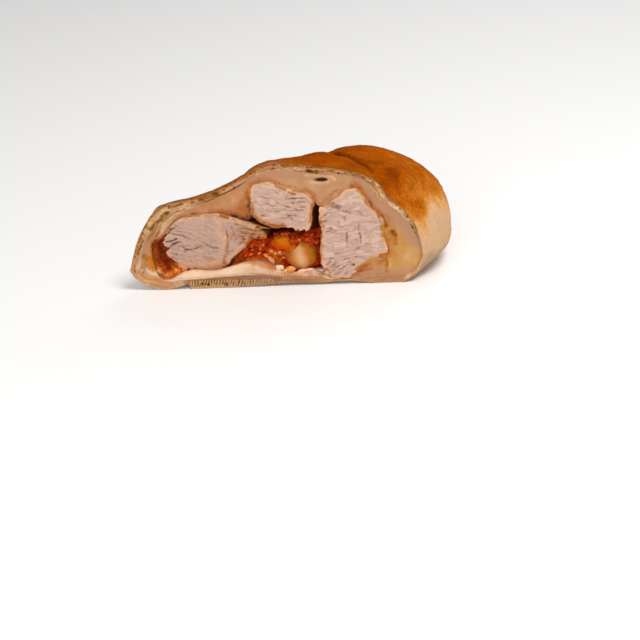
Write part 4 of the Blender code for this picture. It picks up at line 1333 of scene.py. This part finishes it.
# %% Sauce relief
# The lumps of cheese: place (across, height, depth), half sizes in the same order, and turn.
LUMPS = {
    "cheese_lump_orange": ((2.2, 18.9, 7.6), (5.2, 4.2, 4.6), 0.15),
    "cheese_lump_cream": ((11.2, 12.1, 7.4), (6.6, 6.8, 3.8), -0.2),
}


def wet_relief(amount, size, seed, table, climb=(), lean=0.0):
    """The relief of wet pulp, which climbs forward round some lumps and leans back at the left."""

    def relief(points, from_rim):
        p = flat(points)
        heap = np.abs(rough(p, size, 3, seed))
        made = marks(points, table, ("dark", "orange", "pale"))
        made["pale"] = made["pale"] + 0.5 * ease(0.06, 0.0, heap) * ease(0.3, 0.6, noise(p, 2.5, seed + 5))
        back = amount * (1.1 - 2.2 * heap) + 0.16 * noise(p, 0.7, seed + 6)
        back = back + lean * ease(-55, -46, points[:, 0])
        back = back - (2.2 * ease(3.0, 0.0, from_rim) * ease(-8, -14, points[:, 0]) if climb else 0)
        for (u, z, _), (a, b, _), _ in climb:
            e = np.hypot((points[:, 0] + 4.6 - u) / a, (points[:, 1] - z - 1.2) / b)
            back = back - 2.0 * ease(1.7, 1.0, e)
        return back, made

    return relief


print(len(LUMPS), "lumps in the sauce")

# %% Sauce between the pieces
TOMATO_SAUCE = listed("""
-31 5.5, -30 9, -27.5 12.5, -24.5 15.6, -22 18.4, -19.6 22, -14.5 24.6, -9 25.2, -4 25.2, 0.5 25,
4.5 24.6, 8 25.4, 11 27.4, 15.5 28.4, 17 20, 17.5 12, 18.5 5, 10 3.8, 0 4.4, -10 5.6, -20 5.6""")
# The dark strokes are painted shade under and beside the chicken.
table = strokes("""
dark 1 3.6: -18 23.4, -13 25.2, -5 26.6, 1 26.8, 6 26.6
dark 0.95 3.2: -12 23.2, -5 24.4, 3 25, 7 25
dark 1.8 4.2: 7 26.8, 12 28.8, 16.5 29.5
dark 0.9 2.2: 16.8 28, 17.2 18, 18 7
orange 1.7 3.4: 2.6 16, 3 9
dark 0.6 1.6: -18.6 15.8, -15.2 15
dark 0.5 1.4: -6.2 11.4, -3.4 10.8
orange 1 2.2: -28.6 7.6, -26.5 9.6, -24 11.4
orange 1.3 2.6: -9.6 15, -8.6 12, -7 9
orange 0.9 3: -1 14, 0.5 9
orange 0.7 2: -20 8.8, -12 9; 3 20, 6 20.8
dark 0.5 3.4: -18 14.6, -14 17, -10.5 18.6
pale 0.5 2: -8.6 14.4, -5 12.6, -2.5 13.8
orange 1.2 2.2: -27 8, -21.7 9.8, -17 10.7, -12.8 9.7, -9.7 8.3, -5 6.6
pale 0.6 1.5: -27 7.2, -21.7 9, -17 9.9, -12.8 8.9, -9.7 7.6, -5 6""")
relief = wet_relief(1.1, 3.0, 151, table, climb=list(LUMPS.values()))
WET_SHADE = (0.1, 0.2, 0.4, 0.7, 0.9, 1, 1, 1, 1)
SAUCE_PIECE = filling("tomato_sauce", TOMATO_SAUCE, relief, SAUCE, 0.3, spacing=0.24, shade=WET_SHADE)

# %% Sauce at the left
SAUCE_LEFT = listed("""
-56.4 22, -55.2 23.8, -53.2 24.4, -51.1 23.6, -50 20.2, -51.9 17.8, -51.6 15.4, -49.2 12.8, -46.2 11.9,
-44.4 9.2, -44.6 6, -48.6 4.6, -52.6 4.2, -55.4 6, -56.6 9.5, -57.2 13.5, -57.2 17.5""")
# The dark strokes are painted shade at the upper edge, by the chicken.
table = strokes("""
orange 0.9 2.4: -55.4 10.6, -54 8, -52.8 5.4
pale 1.2 2: -55.8 9.6, -54.8 6.8, -53.4 5
orange 1.4 2.2: -48.6 10.8, -46.3 9.5, -46.2 7
orange 1.2 2.8: -51.5 6.2, -46.5 6.6
pale 1.1 0.9: -48.2 10.3, -46.2 8.4, -45.6 6.6
pale 0.9 0.8: -49.6 8.6, -48.6 6.4
pale 0.7 0.8: -52.4 6.8, -51.6 5
pale 0.7 2: -51 4.4, -46.6 5.2
dark 0.75 2.6: -54 23, -53.6 16.5, -52.4 13.2, -50.2 12.2
dark 0.6 1.4: -52.8 13, -51.6 9.4""")
relief = wet_relief(0.4, 2.6, 161, table, lean=3.0)
LEFT_PIECE = filling("sauce_left", SAUCE_LEFT, relief, BROWN_SAUCE, fray=0.3, rim=0.2, shade=WET_SHADE)


# %% Lumps of cheese in the sauce
def lump(key, paint, square):
    """A lump of cheese: a ball made boxier and uneven, with its masks."""
    (u, z, d), (a, b, c), turn = LUMPS[key]
    v, faces = icosphere(5)
    v = np.sign(v) * np.abs(v) ** square
    x, y, h = v.T
    wide = 1 + 0.09 * np.sin(2.3 * x + 3.1 * h + turn * 9) + 0.06 * np.cos(4.1 * h - 2.0 * y)
    wide = wide * (1 + 0.2 * rough(v * 5 + 3, 3.0, 3, 171) - 0.03)
    x, h = turned(x, h, turn)
    points = np.stack([u + x * a * wide, d + y * c * wide, z + h * b * wide], 1)
    over = points[:, [0, 2]] - (u, z)
    rim = ease(0.62, 1.0, np.hypot(over[:, 0] / a, over[:, 1] / b) + 0.15 * noise(points, 2.0, 172))
    masks = dict.fromkeys(("pale", "stain", "dark", "dough"), np.zeros(len(points)))
    if key == "cheese_lump_cream":
        masks["pale"] = 0.65 * groove(over, listed("-3 5.4, -1.8 2, -0.4 -1.4"), 3.8)
        masks["pale"] = masks["pale"] + 0.1 * ease(2.0, -1.0, over[:, 0])
        masks["stain"] = 0.3 * groove(over, listed("2.6 4.6, 4.4 0, 4 -4"), 3.4) + rim
        masks["dough"] = 0.8 * groove(over, listed("-2.6 -4.4, 2 -5"), 2.8)
    else:
        # Painted highlights: two pale spots on the lump's top.
        masks["pale"] = 0.8 * spot(over, 3.6, 1.6, 1.6, 1.2) + 0.7 * spot(over, 0.4, 2.0, 3.0, 1.3)
        masks["stain"] = 0.8 * rim
    return build(key + "_piece", points, faces, {k: m.clip(0, 1) for k, m in masks.items()}, paint, key)


ORANGE_HIGHLIGHT = (0.85, 0.3, 0.02)
ORANGE = cheese_paint(
    "cheese_stained_orange", (0.5, 0.07, 0.0005), (0.62, 0.11, 0.001), 0.05, 0.015, ORANGE_HIGHLIGHT
)
CREAM = cheese_paint("cheese_cream", (0.5, 0.15, 0.008), (0.56, 0.2, 0.02), 0.1, 0.05)
lump("cheese_lump_orange", ORANGE, 0.85)
lump("cheese_lump_cream", CREAM, 0.75)


# %% Bits in the sauce
def bits_paint():
    wet = {"roughness": 0.32, "coat_weight": 0.2, "coat_roughness": 0.12}
    p = Paint("pulp_and_crumbs", specular_ior_level=0.25, **wet)
    hue = p.mask("hue") + (p.speckle(0.7, 2.0) - 0.5) * 0.3
    colour = p.layers(
        (0.42, 0.02, 0.002),
        (hue.between(0.0, 0.4), (0.68, 0.15, 0.012)),
        (hue.between(0.35, 0.7), (0.9, 0.38, 0.1)),
        (hue.between(0.65, 1.0), (0.95, 0.62, 0.4)),
    )
    return p.finish(base_color=colour, normal=p.bump(p.speckle(0.4, 2.0), 0.12, 0.7))


print("bits ready to be painted")

# %% Places of the bits
# Across, height, half width, half height, colour from 0 (red) to 1 (cream), turn and, for the
# lumps that lie in front on the floor's crest, depth.
BITS = listed("""
-9.4 12.4 1.3 0.7 0.6 -0.9, -7 9.6 2.3 0.9 0.78 -0.9, -10.6 17.4 0.9 0.8 0.42 0,
-6.7 14.3 1.2 0.8 0.8 0.2, -5.4 13.4 0.7 1 0.72 0.3, -3.3 14.2 0.8 0.6 0.72 0.7, -2.9 13.2 0.6 0.7 0.55 0,
-1.6 10.5 1.1 0.6 0.55 0.1, -12.4 13.4 0.9 0.6 0.5 0.5, -23.4 12.3 0.8 0.8 0.45 0,
-26.6 9.6 1 0.6 0.5 0.7, -17.6 10.4 0.8 0.5 0.4 0.1, -16.2 12.8 0.7 0.5 0.6 0.3,
-18.9 12.1 0.6 0.5 0.5 0.2, -15.6 15.5 0.9 0.5 0.3 0.5, -21.1 14.2 0.8 0.5 0.3 -0.6,
-15.5 18 0.6 0.5 0.35 0, -12 15.4 0.8 0.6 0.35 -0.5, 5.7 20.8 0.8 0.5 0.5 0, 9.3 20.6 1.4 1 0.12 0.2,
11.4 22.4 1.3 0.9 0.1 0.6, 12.4 19.4 1.1 0.9 0.08 -0.4, 16.2 7.3 1 1.3 0.75 0.2, 10.6 25.2 0.8 0.9 0.7 0,
-3.4 7.2 1.7 1.6 0.95 0.2 4.4, 1.6 6.4 2 1.6 0.62 0.1 4.2, -1 5.6 1.1 0.8 0.78 0.5 4,
6.4 5.6 2.2 0.9 0.9 0.1 4, 10.4 5.6 2.4 1 0.95 -0.1 4.4, 14.6 5.2 2.2 0.9 0.92 0.1 4.2,
17.2 6.8 1.2 1.1 0.85 0.6 4.6, 18.6 4.8 2 1.4 0.88 0.2 3.4, -12 8.6 1.9 0.5 0.72 -0.3 4.9""")
LEFT_BITS = listed("""
-48.2 9.9 0.8 0.4 0.5 0.9, -46.8 9.4 0.9 0.5 0.55 -0.9, -46.9 7.9 0.4 1 0.5 0.3,
-48.6 7.8 0.4 0.9 0.45 0.3, -51.4 9.7 0.4 0.4 0.3 0, -52.2 6 0.4 0.8 0.5 0.1, -50.3 6.8 0.4 0.7 0.45 0.2,
-49.2 5.6 0.9 0.4 0.6 0.2""")


print(len(BITS) + len(LEFT_BITS), "bits placed by hand")


# %% Bits on the sauce
def beds(piece, places):
    """Where the places lie on the face of a piece: the face point that is nearest in the cut's plane."""
    face = np.array([v.co for v in piece.data.vertices])[:, [0, 2, 1]] / MM - ORIGIN[[0, 2, 1]]
    face = face[face[:, 2] < 11]
    spots = []
    for u, z, a, b, hue, turn, *depth in places:
        x, _, h = warp(u, z, 5.0, NARROWING)
        near = face[np.argmin(np.hypot(face[:, 0] - x, face[:, 1] - h))]
        spots.append((x, depth[0] if depth else near[2] - 0.1, h, a, b, hue, turn))
    return spots, face


def bits(seed, loose):
    """Small uneven blobs joined in one mesh: the placed ones, and loose ones on the sauce's face."""
    chance = np.random.default_rng(seed)
    spots, face = beds(SAUCE_PIECE, BITS)
    spots += beds(LEFT_PIECE, LEFT_BITS)[0]
    face = face[(face[:, 1] > 7) & (face[:, 0] < 21)]
    for x, h, y in face[chance.choice(len(face), loose, replace=False)]:
        a = chance.uniform(0.25, 0.65)
        hue = chance.uniform(0, 0.6) ** 1.3
        spots.append((x, y, h, a, a * chance.uniform(0.5, 1), hue, chance.uniform(0, 3)))
    blob, blob_faces = icosphere(3)
    points, faces, hues = [], [], []
    for k, (x, y, h, a, b, hue, turn) in enumerate(spots):
        swell = 1 + 0.3 * noise(blob * 1.1 + 7 * k, 1.0, seed) + 0.12 * noise(blob * 2.6, 1.0, k)
        uneven = blob * swell[:, None]
        across, up = turned(uneven[:, 0] * a, uneven[:, 2] * b, turn)
        points.append(np.stack([x + across, y + uneven[:, 1] * 0.6 * min(a, b), h + up], 1))
        faces.append(blob_faces + k * len(blob))
        hues.append(np.full(len(blob), hue))
    masks = {"hue": np.concatenate(hues)}
    return build("bits_in_sauce", np.vstack(points), np.vstack(faces), masks, bits_paint())


bits(seed=181, loose=85)

# %% [markdown]
# ## Studio
# A plain pale floor and large soft lights keep attention on the food. The camera stands
# above and in front of the cut, with a long lens.

# %% Floor and lights
HALF_FLOOR = 3  # metres
floor_mesh = bpy.data.meshes.new("floor")
corners = [(HALF_FLOOR * x, HALF_FLOOR * y, 0) for x, y in listed("-1 -1, 1 -1, 1 1, -1 1")]
floor_mesh.from_pydata(corners, [], [(0, 1, 2, 3)])
floor_object = bpy.data.objects.new("floor", floor_mesh)
bpy.context.scene.collection.objects.link(floor_object)
table = Paint("pale_table", roughness=0.5)
floor_mesh.materials.append(table.finish(base_color=(0.97, 0.96, 0.95, 1.0)))


def softbox(name, place, size, power):
    """A square light that looks at the middle of the roll."""
    light = bpy.data.lights.new(name, "AREA")
    light.shape, light.size, light.energy = "SQUARE", size, power
    lamp = bpy.data.objects.new(name, light)
    lamp.location = place
    lamp.rotation_euler = (Vector((0, 0, 0.03)) - Vector(place)).to_track_quat("-Z", "Y").to_euler()
    bpy.context.scene.collection.objects.link(lamp)


softbox("key", (0.3, -0.3, 0.85), 0.35, 5.2)
softbox("front", (-0.35, -0.95, 0.5), 0.7, 3.4)
softbox("back", (0.45, 0.7, 0.7), 0.6, 1.6)
world = bpy.data.worlds.new("studio")
world.use_nodes = True
glow = world.node_tree.nodes["Background"].inputs
glow["Color"].default_value, glow["Strength"].default_value = (1, 1, 1, 1), 0.4
bpy.context.scene.world = world
bpy.context.scene.view_settings.view_transform = "Standard"
print("three soft lights")

# %% Camera
CAMERA_PLACE, LENS, SENSOR = np.array([0, -602.67, 274.49]), 83.1, 36
yaw, pitch, roll = (math.radians(v) for v in (-1.712, 25.837, -1.15))
forward = np.array([-math.sin(yaw) * math.cos(pitch), math.cos(yaw) * math.cos(pitch), -math.sin(pitch)])
side = np.array([math.cos(yaw), math.sin(yaw), 0])
up = np.cross(side, forward)
side, up = math.cos(roll) * side + math.sin(roll) * up, math.cos(roll) * up - math.sin(roll) * side
eye = (CAMERA_PLACE + ORIGIN) * MM
camera = bpy.data.objects.new("camera", bpy.data.cameras.new("camera"))
camera.matrix_world = Matrix(np.vstack([np.stack([side, up, -forward, eye], 1), [0, 0, 0, 1]]).tolist())
camera.data.lens, camera.data.sensor_width = LENS, SENSOR
bpy.context.scene.collection.objects.link(camera)
bpy.context.scene.camera = camera
print("camera at", (eye / MM).round(1), "mm")

# %% Size: the number of triangles
print("triangles", sum(len(f.vertices) - 2 for piece in PIECES for f in piece.data.polygons))
